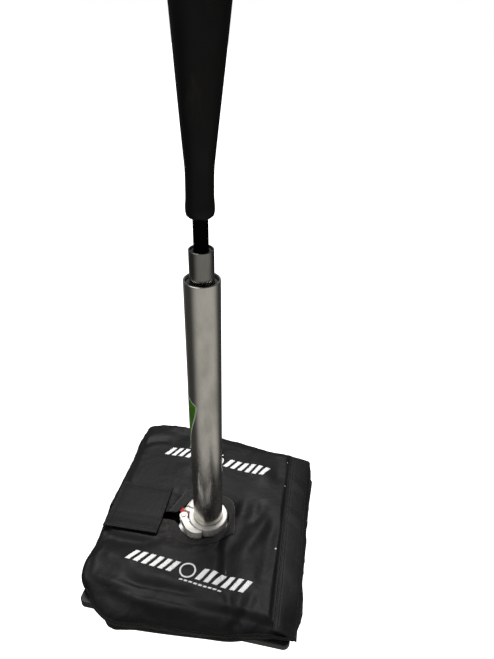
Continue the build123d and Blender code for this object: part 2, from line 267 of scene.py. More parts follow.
# %% Drawn aluminium
def drawn_aluminium(name, colour, roughness, metallic=1.0):
    """Polished along Z: streaks 0.15 mm wide and some 40 mm long, drawn coarser than real."""
    material, tree, shader, place = new_material(name)
    width = 1 / (0.15 * MM)
    drawn = add(tree, "Mapping", {"Vector": place, "Scale": (width, width, width / 260)})
    streaks = add(tree, "TexNoise", {"Vector": drawn, "Scale": 1.0, "Detail": 2.0})
    cloud = 1 / (18 * MM)
    drifting = add(tree, "Mapping", {"Vector": place, "Scale": (cloud, cloud, cloud / 2.5)})
    haze = add(tree, "TexNoise", {"Vector": drifting, "Scale": 1.0, "Detail": 4.0})
    dark = "#%02X%02X%02X" % tuple(int(int(colour[i:i + 2], 16) * 0.86) for i in (1, 3, 5))
    cloudy = add(tree, "MapRange", {0: haze, 1: 0.3, 2: 0.75}, **SMOOTH)
    tint = add(tree, "Mix", {0: cloudy, 6: srgb(colour), 7: srgb(dark)}, data_type="RGBA")
    fine = add(tree, "MapRange", {0: streaks, 1: 0.2, 2: 0.8, 3: -0.05, 4: 0.05}, **SMOOTH)
    broad = add(tree, "MapRange", {0: haze, 1: 0.3, 2: 0.8, 3: roughness - 0.04,
                                             4: roughness + 0.08}, **SMOOTH)
    uneven = add(tree, "Math", {0: fine, 1: broad}, operation="ADD")
    relief = add(tree, "Bump", {"Height": streaks, "Distance": 0.006 * MM, "Strength": 1.0})
    feed(shader, {"Base Color": tint.outputs[2], "Metallic": metallic, "Roughness": uneven,
                  "Normal": relief})
    return material


tube_metal = drawn_aluminium("drawn_aluminium_tube", "#D9D6D0", 0.24)
clamp_metal = drawn_aluminium("cast_aluminium_clamp", "#FBF8F0", 0.5, metallic=0.35)
mid_metal = drawn_aluminium("drawn_aluminium_mid_tube", "#8F8E8A", 0.27)


def dress(node, material):
    """Puts a material on every slot of a CAD node."""
    slots = frame["nodes"][node].data.materials
    slots.clear()
    slots.append(material)


dress("outer_tube", tube_metal)
dress("mid_tube", mid_metal)
for node in ("clamp_collar", "cam_lever", "barrel_nut"):
    dress(node, clamp_metal)

# %% [markdown]
# The socket, its flange, the screws, the cross bolt and its pin are zinc-plated steel: greyer than
# the aluminium, with the faint blotches of a barrel-plated finish.

# %% Zinc plated steel
def zinc_steel():
    """Blotches of 5 mm, and a 0.4 mm grit under the plating."""
    material, tree, shader, place = new_material("zinc_plated_steel")
    blotch = add(tree, "TexNoise", {"Vector": place, "Scale": 1 / (5 * MM), "Detail": 5.0})
    shown = add(tree, "MapRange", {0: blotch, 1: 0.35, 2: 0.7}, **SMOOTH)
    tint = add(tree, "Mix", {0: shown, 6: srgb("#D2D4D6"), 7: srgb("#B3B3AE")}, data_type="RGBA")
    dull = add(tree, "MapRange", {0: blotch, 1: 0.3, 2: 0.7, 3: 0.3, 4: 0.48}, **SMOOTH)
    grit = add(tree, "TexNoise", {"Vector": place, "Scale": 1 / (0.4 * MM), "Detail": 3.0})
    relief = add(tree, "Bump", {"Height": grit, "Distance": 0.01 * MM, "Strength": 1.0})
    feed(shader, {"Base Color": tint.outputs[2], "Metallic": 1.0, "Roughness": dull, "Normal": relief})
    return material


plated = zinc_steel()
for node in ("socket_flange", "socket_tube", "flange_screws", "draw_bolt", "pivot_pin"):
    dress(node, plated)

# %% [markdown]
# The ground plate is hot-rolled steel under a satin black paint. Its sawn edge is painted lighter and
# warmer than its top, whose darker colour is painted shade from the bag that lies over it.

# %% Painted plate
PLATE_LOW, PLATE_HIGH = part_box("base_plate")


def plate_paint_and_shade():
    """Mottling of 9 mm; the orange peel of a sprayed coat is 1.2 mm across and 0.05 mm deep."""
    material, tree, shader, place = new_material("satin_paint_with_shaded_top")
    facing = add(tree, "NewGeometry").outputs["Normal"]
    up = add(tree, "SeparateXYZ", {0: facing}).outputs["Z"]
    level = add(tree, "Math", {0: up}, operation="ABSOLUTE")
    # upward faces take the darker colours: painted shade from the bag over the plate
    side = add(tree, "MapRange", {0: level, 1: 0.3, 2: 0.9, 3: 1.0, 4: 0.0}, **SMOOTH)
    mottle = add(tree, "TexNoise", {"Vector": place, "Scale": 1 / (9 * MM), "Detail": 6.0})
    shown = add(tree, "MapRange", {0: mottle, 1: 0.3, 2: 0.7}, **SMOOTH)
    # painted shade: the top's colours are darker than the edge's
    top = add(tree, "Mix", {0: shown, 6: srgb("#0F0E0E"), 7: srgb("#181716")}, data_type="RGBA")
    edge = add(tree, "Mix", {0: shown, 6: srgb("#1D1B19"), 7: srgb("#2A2724")}, data_type="RGBA")
    tint = add(tree, "Mix", {0: side, 6: top.outputs[2], 7: edge.outputs[2]}, data_type="RGBA")
    peel = add(tree, "TexNoise", {"Vector": place, "Scale": 1 / (1.2 * MM), "Detail": 3.0})
    relief = add(tree, "Bump", {"Height": peel, "Distance": 0.05 * MM, "Strength": 1.0})
    feed(shader, {"Base Color": tint.outputs[2], "Roughness": 0.55, "Normal": relief})
    return material


dress("base_plate", plate_paint_and_shade())
print("plate", [round(c / MM, 1) for c in PLATE_HIGH - PLATE_LOW], "mm")

# %% [markdown]
# ## Rubber, plastic and powder coat
# Black is never flat black: rubber is a warm dark grey with chalky scuffs, moulded nylon has a soft
# sheen, and the powder-coated rod is the darkest thing on the tee.

# %% Black finishes
def black_finish(name, base, worn, roughness, grain, relief=0.03, gloss=0.4):
    """A black with worn patches 16 mm across; grain and relief are its texture in millimetres."""
    material, tree, shader, place = new_material(name)
    patch_size = 1 / (16 * MM)
    drawn = add(tree, "Mapping", {"Vector": place,
                                            "Scale": (patch_size, patch_size, patch_size / 2.2)})
    scuff = add(tree, "TexNoise", {"Vector": drawn, "Scale": 1.0, "Detail": 8.0})
    shown = add(tree, "MapRange", {0: scuff, 1: 0.56, 2: 0.76}, **SMOOTH)
    tint = add(tree, "Mix", {0: shown, 6: srgb(base), 7: srgb(worn)}, data_type="RGBA")
    dull = add(tree, "MapRange", {0: scuff, 1: 0.3, 2: 0.8, 3: roughness,
                                            4: roughness + 0.12}, **SMOOTH)
    skin = add(tree, "TexNoise", {"Vector": place, "Scale": 1 / (grain * MM), "Detail": 4.0})
    pitted = add(tree, "Bump", {"Height": skin, "Distance": relief * MM, "Strength": 1.0})
    feed(shader, {"Base Color": tint.outputs[2], "Roughness": dull, "Specular IOR Level": gloss,
                  "Normal": pitted})
    return material


mat_rubber = black_finish("rubber_mat_sheet", "#121212", "#1F1E1C", 0.75, 0.9, relief=0.12, gloss=0.2)
nylon = black_finish("moulded_nylon", "#121213", "#1E1E1F", 0.38, 0.5)
nitrile = black_finish("nitrile_rubber", "#0E0E0E", "#1A1A1A", 0.5, 0.6)
powder = black_finish("black_powder_coat", "#010101", "#030303", 0.6, 0.7, gloss=0.04)
dress("rubber_mat", mat_rubber)
for node in ("outer_guide_bush", "mid_guide_bush", "mid_foot_plug", "rod_foot_plug", "rod_top_plug"):
    dress(node, nylon)
for node in ("mid_o_rings", "rod_o_rings"):
    dress(node, nitrile)
dress("inner_rod", powder)
red_acetal = black_finish("red_acetal", "#B3081B", "#7E0A16", 0.32, 0.5)
dress("cam_saddle", red_acetal)
print("finishes done")


# %% [markdown]
# ## Vinyl-coated polyester
# The bag is 600-denier polyester cloth with a PVC coat on its face, the stuff of truck covers. The
# coat gives the eye three things: a near-black grey, a soft broad highlight that slides over every
# fold, and a fine leathery grain pressed in by the coating roller. Clay dust rubs into the grain
# round the hole, where hands and the clamp lever work.

# %% Vinyl-coated cloth
HOLE_MIDDLE = (-0.012, 0.0, 0.036)    # metres


def vinyl_cloth(name, base, light, roughness=0.46, dust=0.0):
    """Coated cloth; dust is how much of it shows everywhere, and more gathers round the hole."""
    material, tree, shader, place = new_material(name)
    cloudy = add(tree, "TexNoise", {"Vector": place, "Scale": 1 / (42 * MM), "Detail": 5.0})
    paler = add(tree, "MapRange", {0: cloudy, 1: 0.35, 2: 0.7}, **SMOOTH)
    tint = add(tree, "Mix", {0: paler, 6: srgb(base), 7: srgb(light)}, data_type="RGBA")
    from_hole = add(tree, "VectorMath", {0: place, 1: HOLE_MIDDLE},
                    operation="DISTANCE").outputs["Value"]
    near = add(tree, "MapRange", {0: from_hole, 1: 30 * MM, 2: 62 * MM, 3: 0.55, 4: 0.0}, **SMOOTH)
    powdery = add(tree, "TexNoise", {"Vector": place, "Scale": 1 / (7 * MM), "Detail": 8.0})
    patches = add(tree, "MapRange", {0: powdery, 1: 0.42, 2: 0.72}, **SMOOTH)
    share = add(tree, "Math", {0: near, 1: dust}, operation="ADD")
    rubbed = add(tree, "Math", {0: patches, 1: share}, operation="MULTIPLY")
    crumbs = add(tree, "TexNoise", {"Vector": place, "Scale": 1 / (2.2 * MM), "Detail": 1.0})
    peaks = add(tree, "MapRange", {0: crumbs, 1: 0.74, 2: 0.8}, **SMOOTH)
    specks = add(tree, "Math", {0: peaks, 1: 0.35 + dust}, operation="MULTIPLY")
    amount = add(tree, "Math", {0: rubbed, 1: specks}, operation="MAXIMUM")
    dusty = add(tree, "Mix", {0: amount, 6: tint.outputs[2], 7: srgb("#5A5045")}, data_type="RGBA")
    clean = add(tree, "MapRange", {0: cloudy, 1: 0.3, 2: 0.8, 3: roughness,
                                             4: roughness + 0.1}, **SMOOTH)
    chalky = add(tree, "Math", {0: amount, 1: 0.35}, operation="MULTIPLY")
    matte = add(tree, "Math", {0: clean, 1: chalky}, operation="ADD")
    # the pressed grain is about 0.6 mm across; drawn at 1.1 mm so that it shows
    grain = add(tree, "TexVoronoi", {"Vector": place, "Scale": 1 / (1.1 * MM)},
                feature="SMOOTH_F1")
    rumple = add(tree, "TexNoise", {"Vector": place, "Scale": 1 / (6 * MM), "Detail": 4.0})
    pressed = add(tree, "Math", {0: grain.outputs["Distance"], 1: 0.10}, operation="MULTIPLY")
    height = add(tree, "Math", {0: pressed, 1: rumple}, operation="ADD")
    relief = add(tree, "Bump", {"Height": height, "Distance": 0.55 * MM, "Strength": 0.7})
    feed(shader, {"Base Color": dusty.outputs[2], "Roughness": matte, "Normal": relief, "IOR": 1.52,
                  "Specular IOR Level": 0.22, "Sheen Weight": 0.03, "Sheen Roughness": 0.5})
    return material


cover_vinyl = vinyl_cloth("vinyl_coated_polyester", "#0E0E0F", "#141415", 0.54)
flap_vinyl = vinyl_cloth("vinyl_coated_polyester_flaps", "#0D0D0D", "#131313", 0.56, 0.03)
under_vinyl = vinyl_cloth("vinyl_coated_polyester_base", "#131313", "#1C1C1C", 0.52, 0.08)


# %% [markdown]
# ## The bag's cover
# A flat panel of cloth, about 330 x 370 mm, lies over two sand packs and hangs down at the edges,
# with a hole for the column and a slit that lets the bag wrap round it. A person could simulate
# the drape, but the folds wanted here are particular ones, so the panel is laid out from listed
# points: rays of cloth run from the hole to the edge, over a soft roll and down to the hem, and each
# fold is then pressed into it along its own line.
#
# The rim of the hole and the outer edge are each a few stations. A station holds the point where
# the cloth leaves the flat top, the point where its hem ends, and where on the rim its ray starts.

# %% Rim and edge stations (millimetres)
RIM = [(-45, -7.5, 32.5), (-40, -13, 34), (-33, -21, 35), (-22, -28.5, 35.4), (-8, -32, 36.2),
       (5, -29.6, 40), (16, -22.8, 41.6), (24, -12.2, 42), (27.6, 1, 41.8), (24.6, 14, 41), (17, 24.5, 40),
       (5, 31, 38.5), (-10, 34, 37), (-23, 33.5, 36.5), (-32, 29, 36.5), (-40, 16, 36.4), (-47, 4.5, 36.2)]
STATIONS = [                      # top edge x, y, z; hem x, y, z; place along the rim
    (-137, 1.8, 28, -144, 2.2, 3, 0), (-129.5, -52, 31, -137, -53, 3, 1.2),
    (-130.5, -96, 31, -136, -98, 14, 2.0), (-127.5, -105.5, 30.5, -131.5, -109, 17, 2.25),
    (-118, -111.5, 30, -118.5, -120.5, 15, 2.5), (-107, -114, 29, -109, -131.5, 10, 2.8),
    (-88, -116, 28.5, -91, -142, 8, 3.3), (-30, -118, 28.5, -32, -140.5, 7, 4.6),
    (26, -119, 28, 26, -136.5, 7, 6.2), (60, -119, 27, 60, -133, 8, 7.0),
    (84, -119, 26, 86, -129.5, 14, 7.4), (104, -119.5, 24, 108, -126, 14.5, 7.7),
    (120, -119, 22, 127, -124, 14.5, 7.9),
    (131, -118, 18.5, 134.5, -121.5, 13, 8.2), (136.2, -108, 19.5, 135, -110, 13, 8.4),
    (133.8, -50, 23.2, 131.5, -50, 13, 8.85), (130.3, 11, 23.5, 128.3, 11, 12, 9.3),
    (126.8, 72, 23.5, 124, 72, 12, 9.9), (123.2, 133, 23.2, 120.5, 135, 12, 10.5),
    (120.6, 144.5, 22.5, 118.5, 148.5, 12, 10.8), (103, 150, 25, 103, 156, 11, 11.1),
    (50, 153, 28, 50, 161, 6, 11.6), (-10, 158, 31, -12, 169, 2, 12.2),
    (-78, 165, 36, -80, 175, 3, 12.85), (-128, 166, 31, -133, 175.5, 2, 13.35),
    (-139, 163, 29, -148.5, 171, 2, 13.6), (-140.5, 152, 29, -150, 156, 2, 13.85),
    (-138, 90, 29.5, -147, 90, 2, 14.6), (-137.5, 4.4, 28.5, -144.5, 4.0, 3, 16)]
COLUMNS = 430
TOP_ROWS, WALL_ROWS = 54, 18
PANEL_Z = 32.8                    # the cloth's height over the packs
TURN_DOWN = 13.0                  # how near the edge the flat top starts to turn down

edge = through(STATIONS, COLUMNS)
rim_curve = through(RIM, 321)
rim_at = edge[:, 6] / 16 * 320
rim = np.stack([np.interp(rim_at, np.arange(321), rim_curve[:, k]) for k in range(3)], 1)
top_edge, hem = edge[:, :3], edge[:, 3:6]


def panel_height(x, y):
    """Height of the flat top: a pillow over each sand pack and a sag along the slit between them."""
    front = 2.6 * np.exp(-((x + 8) / 95) ** 4 - ((y + 76) / 40) ** 4)
    back = 2.2 * np.exp(-((x + 6) / 98) ** 4 - ((y - 92) / 50) ** 4)
    slit = -1.5 * np.exp(-((x + 100) / 55) ** 2 - ((y - 2) / 16) ** 2)
    return PANEL_Z + front + back + slit


# %% [markdown]
# Each ray leaves the rim at the rim's height, settles on the packs, and near the edge turns down
# along a Bezier curve. The hem is turned up inside by 7 mm, as a sewn hem is.

# %% Rays of cloth
def lay_cover():
    rows = []
    reach = np.linalg.norm(top_edge[:, :2] - rim[:, :2], axis=1)
    for t in np.linspace(0, 1, TOP_ROWS):
        flat = rim + (top_edge - rim) * t
        from_rim = reach * t
        height = panel_height(flat[:, 0], flat[:, 1])
        near_rim = np.exp(-(from_rim / 15) ** 2)
        height = height + (rim[:, 2] - height) * near_rim
        height = height + (top_edge[:, 2] - height) * smoothstep(TURN_DOWN, 0.0, reach - from_rim) ** 1.5
        rows.append(np.c_[flat[:, :2], height])
    before, start = rows[-2], rows[-1]
    heading = start - before
    heading /= np.linalg.norm(heading, axis=1)[:, None]
    drop = np.linalg.norm(hem - start, axis=1)[:, None]
    out = start + heading * drop * 0.36
    down = hem + np.array([0, 0, 1.0]) * drop * 0.34 + heading * drop * 0.04
    return np.array(rows + bezier(start, out, down, hem, WALL_ROWS))


cover = lay_cover()
print("cover grid", cover.shape, "hem length", round(np.linalg.norm(np.diff(hem, axis=0), axis=1).sum()))


# %% [markdown]
# ## Folds
# A fold is a line on the cloth with a depth and a width. Across it the cloth goes down and comes
# back up a little beyond, because the slack that a valley takes stands up as a soft ridge beside
# it. Along it the depth fades at both ends. `lean` pushes the fold over, which makes one flank
# steep and the other long.

# %% Pressing a fold
FOLD_END = 0.25                   # the share of a fold's length over which it fades
FOLD_RIDGE = 0.35                 # the height of the ridges beside a valley, as a share of its depth


def grid_normals(grid):
    across = np.gradient(grid, axis=1)
    along = np.gradient(grid, axis=0)
    normal = np.cross(across, along)
    normal /= np.maximum(np.linalg.norm(normal, axis=2), 1e-9)[:, :, None]
    return normal * np.sign(normal[5, 5, 2])


def press(grid, normal, line, depth, width, lean):
    """Moves the cloth along its normal; depth under 0 is a valley, over 0 a ridge."""
    curve = through(line, 90)
    points = grid.reshape(-1, 3)
    away = points[:, None, :] - curve[None, :, :]
    away[:, :, 2] *= 0.8
    distance = np.linalg.norm(away, axis=2)
    nearest = distance.argmin(1)
    d = distance.min(1)
    tangent = np.gradient(curve, axis=0)[nearest]
    off = points - curve[nearest]
    side = np.sign(tangent[:, 0] * off[:, 1] - tangent[:, 1] * off[:, 0])
    along = nearest / 89.0
    fade = smoothstep(0, FOLD_END, along) * smoothstep(0, FOLD_END, 1 - along)
    w = width * (1 + lean * side)
    shape = np.exp(-(d / w) ** 2) - FOLD_RIDGE * np.exp(-((d - 2.1 * w) / (1.1 * w)) ** 2)
    moved = points + normal.reshape(-1, 3) * (depth * fade * shape)[:, None]
    return moved.reshape(grid.shape)


# %% The folds of this bag (millimetres on the cloth, valleys below zero)
FOLDS = [
    ([(46, 66, 35), (39, 32, 37), (34, -2, 37), (31, -29, 36), (36, -50, 34), (40, -78, 33),
      (45, -108, 32)], -4.2, 9.5, 0.35),
    ([(78, 34, 32), (72, 6, 32), (62, -22, 32), (52, -49, 32)], 2.6, 9.0, -0.3),
    ([(64, 56, 33), (66, 28, 33), (56, 2, 33)], -2.0, 7.0, 0.2),
    ([(48, -88, 32), (53, -106, 31), (60, -122, 26), (64, -131, 12)], -2.2, 5.5, 0.1),
    ([(80, -80, 32), (76, -102, 30), (70, -120, 26), (66, -131, 12)], -2.2, 5.5, -0.1),
    ([(82, 40, 32), (85, 4, 32), (86, -39, 31), (84, -96, 29)], -1.6, 7.0, 0.0),
    ([(-122, -105, 30), (-100, -110, 30), (-77, -116, 29), (-39, -120, 27), (10, -121, 27),
      (40, -119, 27)], 3.0, 8.0, 0.3),
    ([(-86, -100, 33), (-62, -105, 33), (-20, -105, 33), (22, -105, 33)], -3.2, 7.5, -0.2),
    ([(-108, -97, 32), (-80, -90, 34), (-48, -88, 35), (-14, -92, 35)], 1.6, 9.5, 0.0),
    ([(-138, -42, 30), (-118, -47, 32), (-96, -48, 33), (-72, -47, 34), (-48, -44, 34)], -4.4, 8.5, -0.35),
    ([(-120, -72, 31), (-92, -80, 33), (-66, -78, 34)], 1.8, 9.0, 0.0),
    ([(-86, -44, 34), (-50, -50, 34), (-14, -50, 34), (14, -46, 34)], 1.8, 9.0, 0.2),
    ([(-140, 110, 28), (-128, 126, 30), (-112, 134, 31), (-92, 136, 31)], -2.4, 5.5, 0.2),
    ([(-26, 152, 30), (-24, 120, 33), (-30, 88, 34), (-44, 58, 34)], -3.2, 11.0, 0.0),
    ([(-74, 154, 30), (-66, 124, 33), (-70, 94, 34)], 1.8, 11.0, 0.0),
    ([(34, 152, 28), (40, 122, 33), (56, 96, 33), (60, 72, 33)], 1.6, 10.0, 0.2),
    ([(76, 148, 26), (80, 118, 31), (82, 84, 32)], -1.8, 9.0, 0.0),
    ([(-62, 46, 36), (-50, 38, 37), (-38, 42, 36)], -1.2, 6.0, 0.0),
    ([(-18, -43, 36), (8, -43, 38), (32, -28, 40), (41, -2, 40), (39, 24, 39)], 1.2, 5.0, 0.0),
]
normals = grid_normals(cover)
for line, depth, width, lean in FOLDS:
    cover = press(cover, normals, line, depth, width, lean)

# %% [markdown]
# Between the large folds the cloth is never quite flat. Two layers of noise do that: a slow one,
# 35 mm across, and sharp little creases, which are the ridges of a finer noise and gather where
# the cloth is held: at the hem, the rim and the right-hand seam.

# %% Slack and small creases
def noise_at(points, size, seed):
    return np.array([noise.noise(Vector(p / size) + Vector((seed, seed * 0.7, 0))) for p in points])


def rumple_grid(grid, normal, held, slow=0.8, sharp=0.8):
    points = grid.reshape(-1, 3)
    drift = noise_at(points, 35.0, 3.1)
    bent = points + np.stack([noise_at(points, 24.0, s) for s in (7.7, 11.3, 15.9)], 1) * 12
    crease = 1 - 2.2 * np.abs(noise_at(bent, 19.0, 21.5))
    crease = np.clip(crease, 0, 1) ** 2
    lift = slow * drift + sharp * crease * held.reshape(-1)
    return grid + normal * lift.reshape(grid.shape[:2])[:, :, None]


row_t = np.r_[np.linspace(0, 1, TOP_ROWS), np.linspace(1, 1.25, WALL_ROWS + 1)[1:]]
held = 0.25 + 0.75 * smoothstep(0.75, 1.05, row_t) + 0.4 * smoothstep(0.2, 0.0, row_t)
held = np.repeat(held[:, None], COLUMNS, 1)
cover = rumple_grid(cover, normals, held)

# %% [markdown]
# The lever swings over the cloth to the left of the hole, so there the cloth stays below it; the
# cloth also stays above the packs, the plate and the ground.

# %% Room for the lever
joints = {joint["name"]: joint for joint in frame["joints"]}
pin = np.array(joints["lever_hinge"]["pos_m"][:2]) / MM
LEVER_REACH, LEVER_UNDER = 39.0, 37.2


def clear_lever(grid):
    reach = np.linalg.norm(grid[:, :, :2] - pin, axis=2)
    ceiling = LEVER_UNDER + 8 * smoothstep(LEVER_REACH, LEVER_REACH + 12, reach)
    out = grid.copy()
    over = out[:, :, 2] - ceiling
    out[:, :, 2] = np.where(over > -1.0, ceiling - 1.0 * np.exp(-np.clip(over + 1, 0, 9)), out[:, :, 2])
    return out


cover = clear_lever(cover)
cover[:, :, 2] = np.maximum(cover[:, :, 2], 1.6)

# %% [markdown]
# Under the closure flap and the side strip the cloth is pressed flat, and it stands a little proud
# just beside them, which is what gives a flap its dark outline.

# %% Flat beds for the two flaps
FLAP_MIDDLE, FLAP_TURN = np.array([-99.0, 3.5]), math.radians(2.2)
FLAP_W, FLAP_L, FLAP_MM = 74.0, 81.0, 1.9
STRIP_EDGE, STRIP_TURN, STRIP_SLOPE = np.array([130.0, 11.0, 24.0]), math.radians(3.3), math.radians(13)
STRIP_W, STRIP_L, STRIP_MM = 31.0, 274.0, 2.5
out_axis = np.array([math.cos(STRIP_TURN) * math.cos(STRIP_SLOPE),
                     math.sin(STRIP_TURN) * math.cos(STRIP_SLOPE), -math.sin(STRIP_SLOPE)])
long_axis = np.array([-math.sin(STRIP_TURN), math.cos(STRIP_TURN), 0])
up_axis = np.cross(out_axis, long_axis)
STRIP_BED, FLAP_BED = -0.5, 33.4


def strip_sag(u, v):
    """How far the strip hangs down, most of all at the outer corner of its front end."""
    return 7.0 * smoothstep(62, 0, v) * smoothstep(4, 31, u) + 1.2 * smoothstep(250, 274, v)


def under_strip(grid):
    local = grid - STRIP_EDGE
    across, high = local @ out_axis, local @ up_axis
    bed = STRIP_BED - 0.9 * smoothstep(5.0, 0.0, np.abs(across + STRIP_W + 1.0))
    bed = bed + 3.4 * smoothstep(-STRIP_W - 2.0, -STRIP_W - 8.0, across)
    bed = bed - strip_sag(across + STRIP_W, local @ long_axis + STRIP_L / 2)
    sink = np.where(across > -STRIP_W - 12.0, np.maximum(high - bed, 0), 0)
    return grid - up_axis * sink[..., None]


def under_flap(grid):
    x, y = grid[..., 0] - FLAP_MIDDLE[0], grid[..., 1] - FLAP_MIDDLE[1]
    past_x, past_y = np.abs(x) - FLAP_W / 2 + 4, np.abs(y) - FLAP_L / 2 + 4
    outside = np.hypot(np.maximum(past_x, 0), np.maximum(past_y, 0))
    bed = FLAP_BED + 5.0 * smoothstep(0, 16, outside)
    out = grid.copy()
    out[..., 2] = np.minimum(out[..., 2], bed)
    return out


cover = under_flap(under_strip(cover))

# %% The cover as a piece
CLOTH_MM = 0.9                    # coated cloth; the cut edges show this thickness
HEM_TURN = 7.0


def turned_hem(grid, turn, gap=1.3):
    """Rows that carry the cloth round a small curl and back up inside, like a sewn hem."""
    last, before = grid[-1], grid[-3]
    down = last - before
    down /= np.linalg.norm(down, axis=1)[:, None]
    sideways = np.gradient(last, axis=0)
    inward = np.cross(down, sideways)
    inward /= np.linalg.norm(inward, axis=1)[:, None]
    towards_middle = -last * [1, 1, 0]
    inward *= np.sign((inward * towards_middle).sum(1))[:, None]
    rows = []
    for a in np.linspace(0.3, math.pi, 5):
        rows.append(last + down * math.sin(a) * gap * 0.5 + inward * (1 - math.cos(a)) * gap * 0.5)
    for d in (turn * 0.5, turn):
        rows.append(last - down * d + inward * gap)
    return np.concatenate([grid, np.array(rows)])


hemmed = turned_hem(cover, HEM_TURN)
hemmed[:, :, 2] = np.maximum(hemmed[:, :, 2], 0.9)
bag_cover = make_piece("bag_cover", hemmed, grid_faces(len(hemmed), COLUMNS, flip=True), cover_vinyl)
thicken(bag_cover, CLOTH_MM)
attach(bag_cover, "bag")
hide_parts("bag_top")
normals = grid_normals(cover)


def cloth_area(grid):
    a, b = grid[1:, :-1] - grid[:-1, :-1], grid[:-1, 1:] - grid[:-1, :-1]
    return np.linalg.norm(np.cross(a, b), axis=2).sum() * MM ** 2


print("cover cloth area", round(cloth_area(hemmed), 4), "m2")

# %% [markdown]
# ## Binding round the hole
# A woven tape is folded over the raw edge of the hole and sewn down with two rows. It takes the
# cloth's own shape: the same rays, lifted by the tape's thickness above the cloth and dropped by it
# below, joined by a tight turn at the rim. A little clay has dried into its weave.

# %% Woven tape
def woven_tape(name, warp, weft, dusty, amount):
    """Polyester tape: ribs 0.9 mm apart across it, drawn 1.4 mm apart so that they show."""
    material, tree, shader, place = new_material(name)
    ribs = add(tree, "TexWave", {"Vector": place, "Scale": 1 / (1.4 * MM * 2 * math.pi) * 3.1,
                                           "Distortion": 1.5, "Detail": 2.0}, bands_direction="DIAGONAL")
    rib = ribs.outputs["Fac"]
    cloth = add(tree, "Mix", {0: rib, 6: srgb(warp), 7: srgb(weft)}, data_type="RGBA")
    dirt = add(tree, "TexNoise", {"Vector": place, "Scale": 1 / (6 * MM), "Detail": 8.0})
    covered = add(tree, "MapRange", {0: dirt, 1: 0.7 - amount, 2: 0.85 - amount * 0.6}, **SMOOTH)
    tint = add(tree, "Mix", {0: covered, 6: cloth.outputs[2], 7: srgb(dusty)}, data_type="RGBA")
    relief = add(tree, "Bump", {"Height": rib, "Distance": 0.25 * MM, "Strength": 1.0})
    feed(shader, {"Base Color": tint.outputs[2], "Roughness": 0.8, "Sheen Weight": 0.15, "Normal": relief})
    return material


binding_tape = woven_tape("woven_polyester_tape", "#121110", "#191716", "#2D2720", 0.15)
BIND_ROWS, TAPE_MM = 6, 0.55


def wrap_binding():
    over = [cover[r] + normals[r] * (0.35 + 0.35 * math.sin(math.pi * (r + 0.6) / BIND_ROWS))
            for r in range(BIND_ROWS, -1, -1)]
    under = [cover[r] - normals[r] * (CLOTH_MM + 0.4) for r in range(0, BIND_ROWS - 1)]
    inward = cover[0] - cover[1]
    inward /= np.linalg.norm(inward, axis=1)[:, None]
    turn = []
    for a in np.linspace(0.25, math.pi - 0.25, 5):
        middle = (over[-1] + under[0]) / 2
        half = (over[-1] - under[0]) / 2
        turn.append(middle + half * math.cos(a) + inward * math.sin(a) * 1.1)
    return clear_lever(np.array(over + turn + under))


binding_grid = wrap_binding()
hole_edge = make_piece("hole_edge_tape", binding_grid, grid_faces(len(binding_grid), COLUMNS),
                       binding_tape)
thicken(hole_edge, TAPE_MM, 0.0)
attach(hole_edge, "bag")
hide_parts("hole_binding")
print("binding", round(np.linalg.norm(np.diff(cover[0], axis=0), axis=1).sum()), "mm long")

# %% [markdown]
# ## Stitching
# Every seam is a lockstitch in bonded nylon thread, about 3.3 mm a stitch. Each stitch is a small
# spindle that lies on the cloth and dips at both ends into its needle holes. At this size they read
# as a dotted line, which is what makes an edge look sewn.

# %% Stitches
def thread_material():
    """Twisted thread: the plies are 0.5 mm apart."""
    material, tree, shader, place = new_material("bonded_nylon_thread")
    twist = add(tree, "TexNoise", {"Vector": place, "Scale": 1 / (0.5 * MM), "Detail": 2.0})
    shown = add(tree, "MapRange", {0: twist, 1: 0.3, 2: 0.7}, **SMOOTH)
    tint = add(tree, "Mix", {0: shown, 6: srgb("#201F1E"), 7: srgb("#343230")}, data_type="RGBA")
    relief = add(tree, "Bump", {"Height": twist, "Distance": 0.08 * MM, "Strength": 1.0})
    feed(shader, {"Base Color": tint.outputs[2], "Roughness": 0.5, "Normal": relief})
    return material


thread = thread_material()
STITCH, STITCH_GAP, THREAD_R = 2.5, 0.8, 0.28


def sew(name, rows, body=None, bend=None):
    """One mesh of stitches along rows; a row is (points, normals) in millimetres. It rides on a body,
    or, when bend is given, stays where it is on no body."""
    verts, faces = [], []
    ring = np.linspace(0, 2 * math.pi, 6, endpoint=False)
    stations = [(-0.5, 0.15, -0.35), (-0.36, 0.9, 0.1), (0, 1.0, 0.35),       # place, girth, lift
                (0.36, 0.9, 0.1), (0.5, 0.15, -0.35)]
    for points, up in rows:
        step = np.linalg.norm(np.diff(points, axis=0), axis=1)
        s = np.r_[0, np.cumsum(step)]
        for start in np.arange(1.0, s[-1] - STITCH - 1.0, STITCH + STITCH_GAP):
            at = start + STITCH / 2
            here = np.array([np.interp([at - 1, at, at + 1], s, points[:, k]) for k in range(3)]).T
            along = here[2] - here[0]
            along /= np.linalg.norm(along)
            n = np.array([np.interp(at, s, up[:, k]) for k in range(3)])
            n -= along * (n @ along)
            n /= np.linalg.norm(n)
            across = np.cross(along, n)
            first = len(verts)
            for place, girth, lift in stations:
                middle = here[1] + along * place * STITCH + n * lift * THREAD_R
                for a in ring:
                    verts.append(middle + (across * math.cos(a) + n * math.sin(a)) * girth * THREAD_R)
            for r in range(len(stations) - 1):
                for k in range(6):
                    a, b = first + r * 6 + k, first + r * 6 + (k + 1) % 6
                    faces.append((a, b, b + 6, a + 6))
            top = first + 6 * (len(stations) - 1)
            for a, b, c in ((5, 4, 3), (3, 2, 1)):
                faces.append((first, first + a, first + b, first + c))
            for a, b, c in ((1, 2, 3), (3, 4, 5)):
                faces.append((top, top + a, top + b, top + c))
    piece = make_piece(name, verts, faces, thread)
    if bend:
        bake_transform(piece)
    else:
        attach(piece, body)
    print(name, len(verts) // 30, "stitches")
    return piece


